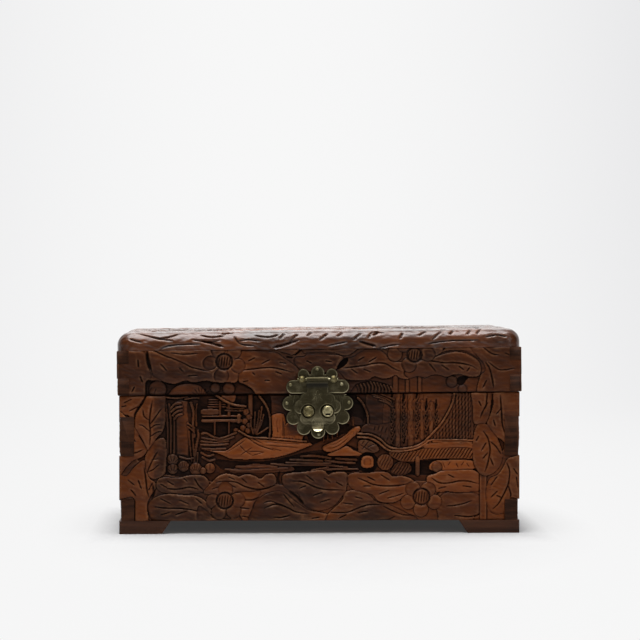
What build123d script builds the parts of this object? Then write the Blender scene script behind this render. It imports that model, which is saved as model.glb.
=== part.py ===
from build123d import *
from math import asin, cos, radians, sin, tan
import os

# Carved keepsake box: a finger-jointed body on bracket feet, a deep lid under a thick
# rounded board, two butt hinges let into the back edges, and a brass lock whose hasp hangs
# from a rod on the lid and drops over two cross-bored knobs on the body.
# Millimetres and degrees. +X is the width, the front faces -Y, +Z is up.

# ---- Body of the box -----------------------------------------------------------------
body_width = 297.0            # outside, along X
body_depth = 162.0            # outside, along Y
wall_height = 94.0            # at mid width, from the walls' lower edge to the seam
wall_thickness = 11.0
floor_thickness = 6.0
floor_rebate = 5.0            # how far the floor board is let into each wall
body_corner_radius = 1.5      # wear on the upright corners
low_side_finger = 15.5        # finger heights at the corners, from the bottom: side board,
mid_front_finger = 32.5       # front board,
high_side_finger = 29.0       # side board; the front board takes the rest up to the seam

# ---- Feet ----------------------------------------------------------------------------
foot_height = 9.6
foot_thickness = 11.0
left_foot_length = 38.0       # of the face strips, along their upper edge
right_foot_length = 45.0
foot_return_length = 27.0     # of the return strips, behind the face strips
foot_slope = 6.5              # how much shorter each strip is at the table

# ---- Seam ----------------------------------------------------------------------------
seam_gap = 0.5
seam_lean = 0.55              # the sawn seam, and the lid on it, rise towards the right

# ---- Lid -----------------------------------------------------------------------------
lid_overhang = 1.5            # how far the lid stands proud at the front and the sides
rail_height = 33.0
rail_thickness = 9.0
low_side_lid_finger = 12.6    # from the seam up: side rail,
mid_front_lid_finger = 11.0   # front rail; the side rail takes the rest
board_thickness = 14.0
board_corner_radius = 11.0
board_edge_radius = 10.0
rail_corner_radius = 2.0

# ---- Hinges --------------------------------------------------------------------------
hinge_spacing = 180.0
hinge_length = 26.0
hinge_inset = 3.0             # of the pin, from the back face
leaf_width = 5.5
leaf_thickness = 0.9
knuckle_radius = 1.9
centre_knuckle = 10.0         # length of the lid leaf's knuckle
knuckle_end_gap = 0.15
knuckle_clearance = 0.4       # between the knuckles and their housing in the wood
hinge_pin_radius = 0.85
hinge_running_clearance = 0.05
lid_opening = 105.0           # the bevelled back edges meet just past this angle
bevel_margin = 3.0
screw_head_radius = 1.4
screw_head_depth = 0.6
screw_neck_radius = 0.7       # where the head meets the shank
screw_shank_width = 0.95      # shanks are left square and without thread
screw_length = 6.0
screw_inset = 4.5             # from the ends of the leaf
screw_offset = 3.7            # from the hinge pin

# ---- Lock plates ---------------------------------------------------------------------
lock_x = -1.7                 # the lock sits a little left of the middle
plate_thickness = 1.0
plate_seam_margin = 0.5       # between the plates' straight edges and the seam's middle
flower_drop = 6.9             # of the body plate's centre, below the seam
flower_lobe_ring = 20.9       # radius on which the lobes are centred
flower_lobe_radius = 5.3
flower_lobe_pitch = 30.0      # degrees from lobe to lobe
cloud_side_lobe = (18.3, 5.4, 5.0)       # x, height above the seam, radius
cloud_shoulder_lobe = (10.5, 14.4, 4.2)
cloud_top_lobe_height = 15.6
cloud_top_lobe_radius = 5.0

# ---- Hasp, rod and posts -------------------------------------------------------------
rod_height = 11.0             # above the seam
rod_radius = 0.9
rod_end = 0.4                 # how far the rod stands out of the posts
post_spacing = 23.4
post_ball_radius = 2.8
post_ball_ridge = 25.0        # degrees from the ball's middle to its two ridges
post_ball_end = 60.0          # degrees from its middle to its flat ends
post_neck_radius = 1.5
post_depth = 7.0              # in the front rail of the lid
hasp_thickness = 0.9
hasp_running_clearance = 0.08
hasp_roll_side_gap = 0.9      # between the roll and each post's ball
hasp_roll_slit = 22.0         # degrees left open where the roll's end meets the sheet
hasp_centre_drop = 10.3       # of the hasp's round body, below the seam
hasp_body_radius = 13.0
hasp_side_lobe = (12.3, 1.0, 5.3)        # x, height over the centre, radius
hasp_shoulder_lobe = (8.4, 6.2, 5.0)
hasp_lower_lobe = (8.6, -7.2, 4.7)
hasp_tab_drop = 12.3          # of the finger tab's lobe, below the centre
hasp_tab_radius = 4.9
hasp_bend_drop = 19.5         # below the seam, where the tab starts to turn outwards
hasp_bend_radius = 6.0
hasp_bend_angle = 45.0
hasp_side_play = 0.3          # the hasp rests this far left of the middle of its rod
hasp_opening = 175.0
hasp_trim_length = 30.0       # of the tools that trim the hasp, to each side

# ---- Knobs ---------------------------------------------------------------------------
knob_spacing = 14.2
knob_drop = 12.6              # below the seam
knob_radius = 4.1
knob_hole_clearance = 0.9
knob_shank_radius = 1.6
knob_shank_length = 9.0       # in the front panel
knob_dome = 2.6
knob_dome_steps = 3           # rings that the dome is turned in
lock_bar_radius = 1.5         # of the cross bore
lock_bar_gap = 0.6            # between the bore and the hasp's face
knob_nose = 1.4               # metal beyond the bore

# ---- Nails of the plates -------------------------------------------------------------
nail_head_radius = 1.3
nail_head_rim = 0.2
nail_head_dome = 0.65
nail_shank_width = 1.2        # cut nails, square in section
nail_length = 8.0
body_plate_nail_places = ((-22.9, -6.6), (23.1, -6.6), (0.6, -29.8))    # x, height
lid_plate_nail_places = ((-20.2, 7.0), (17.8, 7.0), (-0.3, 18.3))

# ---- Carving -------------------------------------------------------------------------
# Main forms of the carved window on the front: how far each lies below the face, and its
# outline as (x, height over the table). Later forms are laid over earlier ones.
sunk_ground = (2.3, ((-114, 45), (-60, 44.5), (0, 47), (56, 44), (82, 45), (113.5, 47),
                     (113.5, 106), (-114.5, 106)))
left_trees = (
    (0.9, ((-113.5, 58), (-106.2, 58), (-107, 106), (-114, 106))),
    (0.8, ((-96, 52), (-88.5, 60), (-87, 95), (-97, 98))),
)
pavilion = (
    (3.2, ((-88, 71), (-37, 71), (-36, 84), (-39, 106), (-88, 106))),
    (0.8, ((-87, 82.3), (-57.5, 82.3), (-57.5, 87.2), (-87, 87.2))),
    (1.3, ((-86, 88.2), (-70, 88.2), (-70, 95), (-86, 95))),
    (0.7, ((-80, 106), (-66, 98), (-55, 95.5), (-55, 92.3), (-66, 95), (-82, 104))),
    (1.5, ((-63, 76), (-52, 74), (-49, 84), (-54, 93), (-59, 84))),
    (1.2, ((-48, 73), (-43, 73), (-43, 92), (-49, 92))),
)
hills = (
    (1.6, ((-88, 64), (-62, 65), (-52, 71), (-60, 75.5), (-88, 75.5))),
    (0.6, ((-89, 62.5), (-69, 61.5), (-55, 71), (-36, 70), (1, 66), (-20, 60), (-38, 55.3),
           (-60, 54.8), (-78, 60))),
    (1.3, ((-37, 70.5), (-13, 68), (-13, 106), (-37, 106))),
)
water = (
    (1.9, ((-78, 46), (-30, 46), (6, 48), (30, 48), (30, 56), (2, 58), (-78, 50))),
    (3.4, ((-82, 56.5), (-70, 54.5), (-36, 53.5), (2, 60), (2, 56), (-30, 51), (-76, 50))),
)
arch = (
    (3.0, ((-12, 68), (24, 79), (33, 88), (28, 106), (-12, 106))),
    (1.5, ((36, 79), (53, 80), (53, 106), (36, 106))),
    (1.1, ((36, 72), (36, 79), (46, 81.5), (53, 80), (53, 66), (42, 69))),
    (0.7, ((-6, 66.3), (12, 69.5), (29, 80), (31, 76), (18, 65.5), (2, 61))),
    (0.8, ((5, 60), (24, 64.5), (33, 61.5), (29, 57.5), (15, 57.5))),
)
roof = (
    (1.6, ((53, 64), (80, 68), (98, 90), (104, 106), (53, 106))),
    (1.0, ((80, 69), (92, 82), (97, 92), (100, 106), (113.5, 106), (113.5, 68))),
    (0.7, ((28, 70), (36, 72.5), (50, 64), (62, 63.5), (80, 70), (113.5, 70), (113.5, 56),
           (80, 55), (62, 52.5), (53, 57), (44, 62))),
)
shore = (
    (3.0, ((57, 45), (57, 53), (68, 51.5), (80, 54), (113, 54.5), (113, 47), (82, 45))),
    (1.2, ((84, 47), (84, 53.5), (112, 53.5), (112, 47.5))),
    (0.8, ((31, 52), (33, 49.5), (38, 49.5), (40, 52), (38, 57.3), (33, 57.3))),
    (0.8, ((43, 50), (46, 47.5), (52, 47.8), (54, 53), (51.5, 58), (45.5, 58))),
)
window_forms = (sunk_ground, *left_trees, *pavilion, *hills, *water, *arch, *roof, *shore)
lid_strip_forms = (
    (2.4, ((-131, 100), (-131, 112.5), (-60, 113), (-46, 100))),
    (1.0, ((-112, 100), (-109, 107), (-103, 110.5), (-88, 109), (-82, 100))),
    (1.8, ((24, 100), (24, 113), (119, 115), (119, 100))),
    (1.0, ((26, 100), (28, 109), (42, 113), (53, 106), (54, 100))),
)
carving_spare = 1.0           # how far the carving's tools reach out of the face
lock_land_margin = 0.6        # the level land under the body's plate, inside the plate's edge
top_window_stretch = 1.02     # the window on the board, against the one on the front
top_window_drop = 76.0        # how far forward its heights are laid
top_window_depth = 30.0       # of the window on the board, from its middle to each side

# ---- Places worked out from the sizes -------------------------------------------------
seam_height = foot_height + wall_height
seam_place = Pos(0, 0, seam_height) * Rot(0, -seam_lean, 0)
body_front = -body_depth / 2
body_back = body_depth / 2
lid_width = body_width + 2 * lid_overhang
lid_depth = body_depth + lid_overhang
lid_centre_y = -lid_overhang / 2
half_gap = seam_gap / 2
hinge_axis_y = body_back - hinge_inset
bevel_angle = (lid_opening + bevel_margin) / 2

rod_out = lid_overhang + plate_thickness + post_ball_radius
hasp_roll_length = post_spacing - 2 * (post_ball_radius + hasp_roll_side_gap)
roll_bore_radius = rod_radius + hasp_running_clearance
roll_radius = roll_bore_radius + hasp_thickness
hasp_back_out = rod_out - roll_radius
hasp_face_out = hasp_back_out + hasp_thickness
lock_bar_out = hasp_face_out + lock_bar_gap + lock_bar_radius
knob_out = lock_bar_out + lock_bar_radius + knob_nose


def block(x0, x1, y0, y1, z0, z1):
    """Rectangular block between two corners."""
    return Pos(x0, y0, z0) * Box(x1 - x0, y1 - y0, z1 - z0, align=(Align.MIN,) * 3)


def rod_along_x(radius, length):
    """Round bar centred on the origin, along X."""
    return Rot(0, 90, 0) * Cylinder(radius, length)


def rounded_column(width, depth, radius, z0, z1):
    """Upright column with rounded corners, which trims the pieces of a wall to its outline."""
    return Pos(0, 0, z0) * extrude(RectangleRounded(width, depth, radius), z1 - z0)


def jointed_frame(width, depth, thickness, z0, z1, side_fingers, corner_radius):
    """Four boards with finger joints: the side boards own the corners at side_fingers."""
    x, y = width / 2, depth / 2
    outline = rounded_column(width, depth, corner_radius, z0, z1)
    left = block(-x, -x + thickness, -y + thickness, y - thickness, z0, z1)
    for low, high in side_fingers:
        left += block(-x, -x + thickness, -y, y, low, high)
    right = mirror(left, Plane.YZ)
    front = block(-x, x, -y, -y + thickness, z0, z1) - left - right
    back = mirror(front, Plane.XZ)
    boards = {"front": front, "back": back, "left": left, "right": right}
    return {side: board & outline for side, board in boards.items()}


def bevel(direction):
    """Wedge planed off the back edges of the lid (+1) or the body (-1) to stop the lid."""
    past = 2.0
    drop = (hinge_inset + past) * tan(radians(bevel_angle))
    corners = [
        (hinge_axis_y, direction * half_gap),
        (body_back + past, direction * half_gap),
        (body_back + past, direction * (half_gap + drop)),
    ]
    wedge = extrude(make_face(Plane.YZ * Polyline(*corners, close=True)), lid_width, both=True)
    return wedge


def hinge_screw(direction):
    """Countersunk screw whose head lies flush in the leaf of the lid (+1) or the body (-1)."""
    head = Cone(screw_head_radius, screw_neck_radius, screw_head_depth,
                align=(Align.CENTER, Align.CENTER, Align.MIN))
    shank = Box(screw_shank_width, screw_shank_width, screw_length,
                align=(Align.CENTER, Align.CENTER, Align.MIN))
    turn = 0 if direction > 0 else 180
    return Pos(0, -screw_offset, direction * half_gap) * Rot(turn, 0, 0) * (head + shank)


def hinge_screws(direction):
    """The two screws of one leaf."""
    reach = hinge_length / 2 - screw_inset
    return [Pos(x, 0, 0) * hinge_screw(direction) for x in (-reach, reach)]


def leaf_plate(direction):
    """Flat of one leaf, from the pin inwards, before its knuckles are formed."""
    z0, z1 = sorted((direction * half_gap, direction * (half_gap + leaf_thickness)))
    return block(-hinge_length / 2, hinge_length / 2, -leaf_width, 0, z0, z1)


def knuckles(spans, radius):
    """Round knuckles along the pin, one for each span of X."""
    parts = [Pos((a + b) / 2, 0, 0) * rod_along_x(radius, b - a) for a, b in spans]
    return Part() + parts


def hinge_leaf(direction):
    """Leaf of a butt hinge about the pin at the origin: lid leaf (+1) or body leaf (-1)."""
    mid, end = centre_knuckle / 2, hinge_length / 2
    middle = [(-mid, mid)]
    outer = [(-end, -mid - knuckle_end_gap), (mid + knuckle_end_gap, end)]
    own, other = (middle, outer) if direction > 0 else (outer, middle)
    room = [(a - knuckle_end_gap, b + knuckle_end_gap) for a, b in other]
    clearance = hinge_running_clearance if direction > 0 else 0
    leaf = leaf_plate(direction) - knuckles(room, knuckle_radius + knuckle_end_gap)
    leaf += knuckles(own, knuckle_radius)
    leaf -= rod_along_x(hinge_pin_radius + clearance, 2 * hinge_length)
    return leaf - hinge_screws(direction)


def hinge_places():
    """Where the two hinges sit, by side."""
    return {
        side: seam_place * Pos(sign * hinge_spacing / 2, hinge_axis_y, 0)
        for side, sign in (("left", -1), ("right", 1))
    }


def hinge_housing(direction):
    """What is cut out of the wood for one hinge: leaf, knuckles and screws."""
    housing = rod_along_x(knuckle_radius + knuckle_clearance,
                          hinge_length + 2 * knuckle_clearance)
    return [leaf_plate(direction), housing] + hinge_screws(direction)


def on_lock(x, height, out):
    """Place on the lock: +Z there points outwards, x and height are from the seam's middle."""
    return seam_place * Pos(lock_x + x, body_front - out, height) * Rot(90, 0, 0)


def discs(*lobes):
    """Sketch of round lobes, each (x, height, radius), mirrored to both sides."""
    shapes = [Pos(side * x, z) * Circle(r) for x, z, r in lobes for side in (-1, 1)]
    return Sketch() + shapes


def turned(profile):
    """Piece turned about +Z, from (radius, height) pairs, lowest first."""
    rings = []
    for (low_radius, low), (high_radius, high) in zip(profile, profile[1:]):
        along = (Align.CENTER, Align.CENTER, Align.MIN)
        if low_radius == high_radius:
            ring = Cylinder(low_radius, high - low, align=along)
        else:
            ring = Cone(low_radius, high_radius, high - low, align=along)
        rings.append(Pos(0, 0, low) * ring)
    return Part() + rings


def dome(radius, base, height, steps):
    """Profile of a dome from its rim at the base, turned in as many rings as steps."""
    ball = (radius ** 2 + height ** 2) / (2 * height)
    rim = asin(radius / ball)
    angles = [rim * (1 - k / (steps + 0.5)) for k in range(steps)]
    profile = [(ball * sin(a), base + height - ball * (1 - cos(a))) for a in angles]
    return profile + [(profile[-1][0] / 2, base + height)]


def nails(places, out):
    """Domed cut nails of one plate, driven through it into the wood."""
    head = turned([(nail_head_radius, 0)] + dome(nail_head_radius, nail_head_rim,
                                                 nail_head_dome, 1))
    shank = Box(nail_shank_width, nail_shank_width, nail_length + plate_thickness,
                align=(Align.CENTER, Align.CENTER, Align.MAX))
    return [on_lock(x, z, out + plate_thickness) * (head + shank) for x, z in places]


def flower(margin=0.0):
    """Outline of the body's plate about its centre, the whole of it a margin smaller."""
    count = round(360 / flower_lobe_pitch)
    lobes = PolarLocations(flower_lobe_ring, count) * Circle(flower_lobe_radius - margin)
    whole = Circle(flower_lobe_ring - margin) + lobes
    reach = flower_lobe_ring + flower_lobe_radius
    below = Pos(0, flower_drop - plate_seam_margin - margin) * Rectangle(
        2 * reach, 2 * reach, align=(Align.CENTER, Align.MAX))
    return whole & below


def carving(forms, stretch=1.0, drop=0.0):
    """What is cut away for the forms, below a face at height 0 that looks along +Z."""
    waste = Part()
    for depth, outline in forms:
        laid = [(x * stretch, y * stretch - drop) for x, y in outline]
        shape = make_face(Polyline(*laid, close=True))
        whole_depth = max(level for level, _ in forms) + carving_spare
        if waste:
            waste -= Pos(0, 0, -whole_depth) * extrude(shape, 2 * whole_depth)
        waste += Pos(0, 0, -depth) * extrude(shape, depth + carving_spare)
    return waste


def body_plate():
    """Flower of lobes round a disc, cut straight along the seam."""
    return on_lock(0, -flower_drop, 0) * extrude(flower(), plate_thickness)


def lid_plate():
    """Cloud of five lobes standing on a straight edge along the seam."""
    side_x, side_z, side_r = cloud_side_lobe
    shoulder_x, shoulder_z, _ = cloud_shoulder_lobe
    cloud = discs(cloud_side_lobe, cloud_shoulder_lobe,
                  (0, cloud_top_lobe_height, cloud_top_lobe_radius))
    low = (Align.CENTER, Align.MIN)
    base = side_z - side_r
    cloud += Pos(0, base) * Rectangle(2 * side_x, 2 * side_r, align=low)
    cloud += Pos(0, base) * Rectangle(2 * shoulder_x, shoulder_z - base, align=low)
    above = Pos(0, plate_seam_margin) * Rectangle(4 * side_x, 4 * side_x, align=low)
    return on_lock(0, 0, lid_overhang) * extrude(cloud & above, plate_thickness)


def hasp_section():
    """Side view of the hasp: x is outwards from the rod, y is up from the rod."""
    back = -roll_radius
    roll = Circle(roll_radius) - Circle(roll_bore_radius)
    slit_reach = 2 * roll_radius
    slit_corners = [(0, 0)] + [
        (slit_reach * cos(radians(a)), slit_reach * sin(radians(a)))
        for a in (-90 - hasp_roll_slit / 2, -90 + hasp_roll_slit / 2)
    ]
    roll -= make_face(Polyline(*slit_corners, close=True))
    bend_y = -(rod_height + hasp_bend_drop)
    sheet = Pos(back, bend_y) * Rectangle(hasp_thickness, -bend_y, align=(Align.MIN, Align.MIN))
    sheet -= Circle(roll_bore_radius)
    centre_x = back + hasp_thickness + hasp_bend_radius
    outer = hasp_bend_radius + hasp_thickness
    bend = Circle(outer) - Circle(hasp_bend_radius)
    bend &= Rot(0, 0, 180) * sector(2 * outer, hasp_bend_angle)
    tab = Rot(0, 0, hasp_bend_angle) * (
        Pos(-outer, 0) * Rectangle(hasp_thickness, outer, align=(Align.MIN, Align.MAX)))
    return roll + sheet + Pos(centre_x, bend_y) * (bend + tab)


def sector(radius, angle):
    """Triangle that covers the angles from 0 to angle, for trimming arcs."""
    tip = (radius * cos(radians(angle)), radius * sin(radians(angle)))
    return make_face(Polyline((0, 0), (radius, 0), (radius, tip[1]), tip, close=True))


def hasp_outline():
    """Front view of the hasp, from the seam's middle, without its holes."""
    def lowered(lobe):
        x, z, r = lobe
        return x, z - hasp_centre_drop, r

    outline = discs(lowered(hasp_side_lobe), lowered(hasp_shoulder_lobe),
                    lowered(hasp_lower_lobe), lowered((0, -hasp_tab_drop, hasp_tab_radius)),
                    lowered((0, 0, hasp_body_radius)))
    neck_top = rod_height + roll_radius
    outline += Pos(0, neck_top) * Rectangle(
        hasp_roll_length, neck_top + hasp_centre_drop, align=(Align.CENTER, Align.MAX))
    return outline


def hasp():
    """Sheet rolled round the rod, cut to its lobed outline, with two holes for the knobs."""
    section = Plane((0, 0, 0), x_dir=(0, -1, 0), z_dir=(-1, 0, 0)) * hasp_section()
    strip = extrude(section, hasp_trim_length, both=True)
    outline = extrude(Plane.XZ * (Pos(0, -rod_height) * hasp_outline()),
                      hasp_trim_length, both=True)
    holes = [
        Pos(side * knob_spacing / 2, 0, -rod_height - knob_drop) * Rot(90, 0, 0)
        * Cylinder(knob_radius + knob_hole_clearance, 2 * hasp_trim_length)
        for side in (-1, 1)
    ]
    place = seam_place * Pos(lock_x - hasp_side_play, body_front - rod_out, rod_height)
    return place * ((strip & outline) - holes)


def rod_post(side):
    """Turned ball on a neck, driven through the lid's plate, bored along X for the rod."""
    angles = (-post_ball_end, -post_ball_ridge, post_ball_ridge, post_ball_end)
    widest = cos(radians(post_ball_ridge))
    ball = [(post_ball_radius * cos(radians(a)) / widest, post_ball_radius * sin(radians(a)))
            for a in angles]
    root = -(post_ball_radius + plate_thickness + post_depth)
    neck = [(post_neck_radius, root), (post_neck_radius, ball[0][1])]
    bore = rod_along_x(rod_radius, 4 * post_ball_radius)
    return on_lock(side * post_spacing / 2, rod_height, rod_out) * (
        turned(neck) + turned(ball) - bore)


def lock_knob(side):
    """Domed knob driven through the body's plate, bored along X for a lock bar."""
    length = knob_out - plate_thickness
    shank = turned([(knob_shank_radius, -knob_shank_length - plate_thickness),
                    (knob_shank_radius, 0)])
    head = turned([(knob_radius, 0)] + dome(knob_radius, length - knob_dome, knob_dome,
                                            knob_dome_steps))
    bore = Pos(0, 0, lock_bar_out - plate_thickness) * rod_along_x(
        lock_bar_radius, 4 * knob_radius)
    return on_lock(side * knob_spacing / 2, -knob_drop, plate_thickness) * (
        shank + head - bore)


def foot_strips(x_sign, y_sign, length):
    """Face strip and return strip of one corner's bracket foot, sloped at their inner ends."""
    x, y = body_width / 2, body_depth / 2
    face_corners = [(x, 0), (x, foot_height), (x - length, foot_height),
                    (x - length + foot_slope, 0)]
    start = y - foot_thickness
    return_corners = [(start, 0), (start, foot_height),
                      (start - foot_return_length, foot_height),
                      (start - foot_return_length + foot_slope, 0)]
    face = Pos(0, y, 0) * extrude(
        make_face(Plane.XZ * Polyline(*face_corners, close=True)), foot_thickness)
    back = Pos(x - foot_thickness, 0, 0) * extrude(
        make_face(Plane.YZ * Polyline(*return_corners, close=True)), foot_thickness)
    outline = rounded_column(body_width, body_depth, body_corner_radius, 0, foot_height)
    strips = [strip & outline for strip in (face, back)]
    if x_sign < 0:
        strips = [mirror(strip, Plane.YZ) for strip in strips]
    if y_sign < 0:
        strips = [mirror(strip, Plane.XZ) for strip in strips]
    return strips


def make_body():
    """Walls, floor board and feet."""
    rise = body_width / 2 * tan(radians(seam_lean)) + 2
    low, top = foot_height, seam_height + rise
    high_start = low + low_side_finger + mid_front_finger
    fingers = [(low, low + low_side_finger), (high_start, high_start + high_side_finger)]
    walls = jointed_frame(body_width, body_depth, wall_thickness, low, top, fingers,
                          body_corner_radius)
    inner = wall_thickness - floor_rebate
    floor = block(-body_width / 2 + inner, body_width / 2 - inner,
                  body_front + inner, body_back - inner, low, low + floor_thickness)
    above_seam = seam_place * block(-body_width, body_width, -body_depth, body_depth,
                                    -half_gap, 4 * rise)
    nodes = {f"{side}_panel": wall - floor - above_seam for side, wall in walls.items()}
    nodes["floor_board"] = floor
    for end, y_sign in (("front", -1), ("back", 1)):
        for side, x_sign, length in (("left", -1, left_foot_length),
                                     ("right", 1, right_foot_length)):
            face, side_strip = foot_strips(x_sign, y_sign, length)
            nodes[f"foot_{end}_{side}_face"] = face
            nodes[f"foot_{end}_{side}_return"] = side_strip
    return nodes


def carve_front(panel, rail):
    """Cut the window's main forms into the front, with a level land under the lock."""
    upright = Rot(90, 0, 0)
    land = on_lock(0, -flower_drop, 0) * extrude(flower(lock_land_margin), wall_thickness,
                                                 both=True)
    panel -= Pos(0, body_front, 0) * upright * carving(window_forms) - land
    rail -= Pos(0, body_front - lid_overhang, 0) * upright * carving(lid_strip_forms)
    return panel, rail


def carve_board(board, top):
    """Repeat the window on the lid's board, whose face is at the height top."""
    waste = carving(window_forms, top_window_stretch, top_window_drop)
    waste &= block(-body_width, body_width, -top_window_depth, top_window_depth,
                   -board_thickness, board_thickness)
    return board - Pos(0, 0, top) * waste


def make_lid():
    """Frame of rails and the rounded board on it."""
    high_start = half_gap + low_side_lid_finger + mid_front_lid_finger
    top = half_gap + rail_height
    fingers = [(half_gap, half_gap + low_side_lid_finger), (high_start, top)]
    rails = jointed_frame(lid_width, lid_depth, rail_thickness, half_gap, top, fingers,
                          rail_corner_radius)
    board = rounded_column(lid_width, lid_depth, board_corner_radius, top,
                           top + board_thickness)
    board = fillet(board.edges().group_by(Axis.Z)[-1], board_edge_radius)
    board = carve_board(board, top + board_thickness)
    place = seam_place * Pos(0, lid_centre_y, 0)
    nodes = {f"lid_{side}_rail": place * rail for side, rail in rails.items()}
    nodes["lid_board"] = place * board
    return nodes


def make_hinges():
    """Both butt hinges and their screws."""
    nodes = {}
    screws = {1: [], -1: []}
    for side, place in hinge_places().items():
        nodes[f"hinge_{side}_lid_leaf"] = place * hinge_leaf(1)
        nodes[f"hinge_{side}_body_leaf"] = place * hinge_leaf(-1)
        nodes[f"hinge_{side}_pin"] = place * rod_along_x(hinge_pin_radius, hinge_length)
        for direction, made in screws.items():
            made += [place * screw for screw in hinge_screws(direction)]
    nodes["lid_leaf_screws"] = Compound(screws[1])
    nodes["body_leaf_screws"] = Compound(screws[-1])
    return nodes


def make_lock():
    """Plates, nails, posts, rod, knobs and hasp."""
    rod_length = post_spacing + 2 * (post_ball_radius + rod_end)
    nodes = {
        "body_lock_plate": body_plate(),
        "lid_lock_plate": lid_plate(),
        "body_plate_nails": Compound(nails(body_plate_nail_places, 0)),
        "lid_plate_nails": Compound(nails(lid_plate_nail_places, lid_overhang)),
        "hasp_rod": on_lock(0, rod_height, rod_out) * rod_along_x(rod_radius, rod_length),
        "hasp": hasp(),
    }
    for side, sign in (("left", -1), ("right", 1)):
        nodes[f"rod_post_{side}"] = rod_post(sign)
        nodes[f"lock_knob_{side}"] = lock_knob(sign)
    return nodes


def fit_metal(nodes):
    """Cut every piece of wood and both plates for the metal that is let into them."""
    body_walls = ["back_panel", "left_panel", "right_panel"]
    lid_walls = ["lid_back_rail", "lid_left_rail", "lid_right_rail"]
    for names, direction in ((body_walls, -1), (lid_walls, 1)):
        cuts = [seam_place * bevel(direction)]
        for place in hinge_places().values():
            cuts += [place * cut for cut in hinge_housing(direction)]
        for name in names:
            nodes[name] -= cuts
    driven = {
        "body": ["body_plate_nails", "lock_knob_left", "lock_knob_right"],
        "lid": ["lid_plate_nails", "rod_post_left", "rod_post_right"],
    }
    for part, names in driven.items():
        wood = "front_panel" if part == "body" else "lid_front_rail"
        for name in names:
            nodes[wood] -= nodes[name]
            nodes[f"{part}_lock_plate"] -= nodes[name]
    return nodes


def main():
    """Build every piece, stand the box on its origin and write one file for each."""
    nodes = {**make_body(), **make_lid(), **make_hinges(), **make_lock()}
    nodes["front_panel"], nodes["lid_front_rail"] = carve_front(
        nodes["front_panel"], nodes["lid_front_rail"])
    nodes = fit_metal(nodes)
    # The origin is the middle of the box's footprint, from the knobs' tips to the back.
    to_origin = Pos(0, (knob_out - body_front - body_back) / 2, 0)
    os.makedirs("parts", exist_ok=True)
    for name, shape in nodes.items():
        export_step(to_origin * shape, f"parts/{name}.step")
    lid_axis = to_origin * seam_place * Pos(0, hinge_axis_y, 0)
    hasp_axis = to_origin * seam_place * Pos(lock_x, body_front - rod_out, rod_height)
    bar_axis = to_origin * seam_place * Pos(lock_x, body_front - lock_bar_out, -knob_drop)
    for label, place in (("lid hinge", lid_axis), ("hasp rod", hasp_axis),
                         ("lock bar", bar_axis)):
        print(label, [round(v, 4) for v in tuple(place.position)])


if __name__ == "__main__":
    main()
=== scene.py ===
"""Looks of a carved keepsake box: relief-carved boards, aged brass, camera, light and floor.

Lengths in the carving are millimetres; every mesh is in metres in the frame's own axes.
"""

from __future__ import annotations

import logging
from dataclasses import dataclass, field
from enum import Enum
from math import acos, cos, pi, radians, sin, sqrt
from typing import Any, Callable, Iterable, Iterator, Sequence

import bmesh
import bpy
import numpy as np
from bpy.types import Material, Mesh, NodeSocket, NodeTree, Object
from mathutils import Matrix, Vector


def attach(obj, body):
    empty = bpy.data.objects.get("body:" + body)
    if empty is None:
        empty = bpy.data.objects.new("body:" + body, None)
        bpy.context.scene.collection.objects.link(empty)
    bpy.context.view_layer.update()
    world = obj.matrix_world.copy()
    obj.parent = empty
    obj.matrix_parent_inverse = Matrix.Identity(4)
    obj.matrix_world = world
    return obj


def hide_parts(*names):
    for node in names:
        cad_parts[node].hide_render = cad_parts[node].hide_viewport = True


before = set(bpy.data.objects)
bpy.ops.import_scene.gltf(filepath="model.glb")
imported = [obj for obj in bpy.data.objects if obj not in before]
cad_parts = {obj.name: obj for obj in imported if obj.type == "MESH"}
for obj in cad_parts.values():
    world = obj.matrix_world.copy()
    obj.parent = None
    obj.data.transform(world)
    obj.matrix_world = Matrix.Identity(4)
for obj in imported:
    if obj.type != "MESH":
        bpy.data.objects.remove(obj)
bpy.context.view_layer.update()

log = logging.getLogger("keepsake_box")
MM = 0.001
SEED = 11
BODY, LID, HASP = "box_body", "lid", "lock_hasp"
SHADES = ("hollow", "crest", "tone")
Array, Pair, Triple = np.ndarray, tuple[float, float], tuple[float, float, float]


# ---- Lines and points ----


def points(text: str) -> Array:
    """Read a path written as "x,y x,y ..." in millimetres."""
    return np.array([[float(n) for n in pair.split(",")] for pair in text.split()])


def smooth(path: Array, closed: bool) -> Array:
    """Pass a Catmull-Rom curve through a path, in five steps from point to point.

    Args:
        path: The points, one row each.
        closed: Whether the curve returns to its start.

    Returns:
        The curve's points; a closed curve repeats its first point at the end.
    """
    if closed:
        p = np.vstack([path[-1:], path, path[:2]])
    else:
        p = np.vstack([2 * path[0] - path[1], path, 2 * path[-1] - path[-2]])
    t = np.linspace(0, 1, 5, endpoint=False)[:, None]
    runs = [
        0.5 * (2 * b + (c - a) * t + (2 * a - 5 * b + 4 * c - d) * t**2
               + (3 * b - a - 3 * c + d) * t**3)
        for a, b, c, d in zip(p, p[1:], p[2:], p[3:])
    ]
    return np.vstack([*runs, p[-2:-1]])


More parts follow.
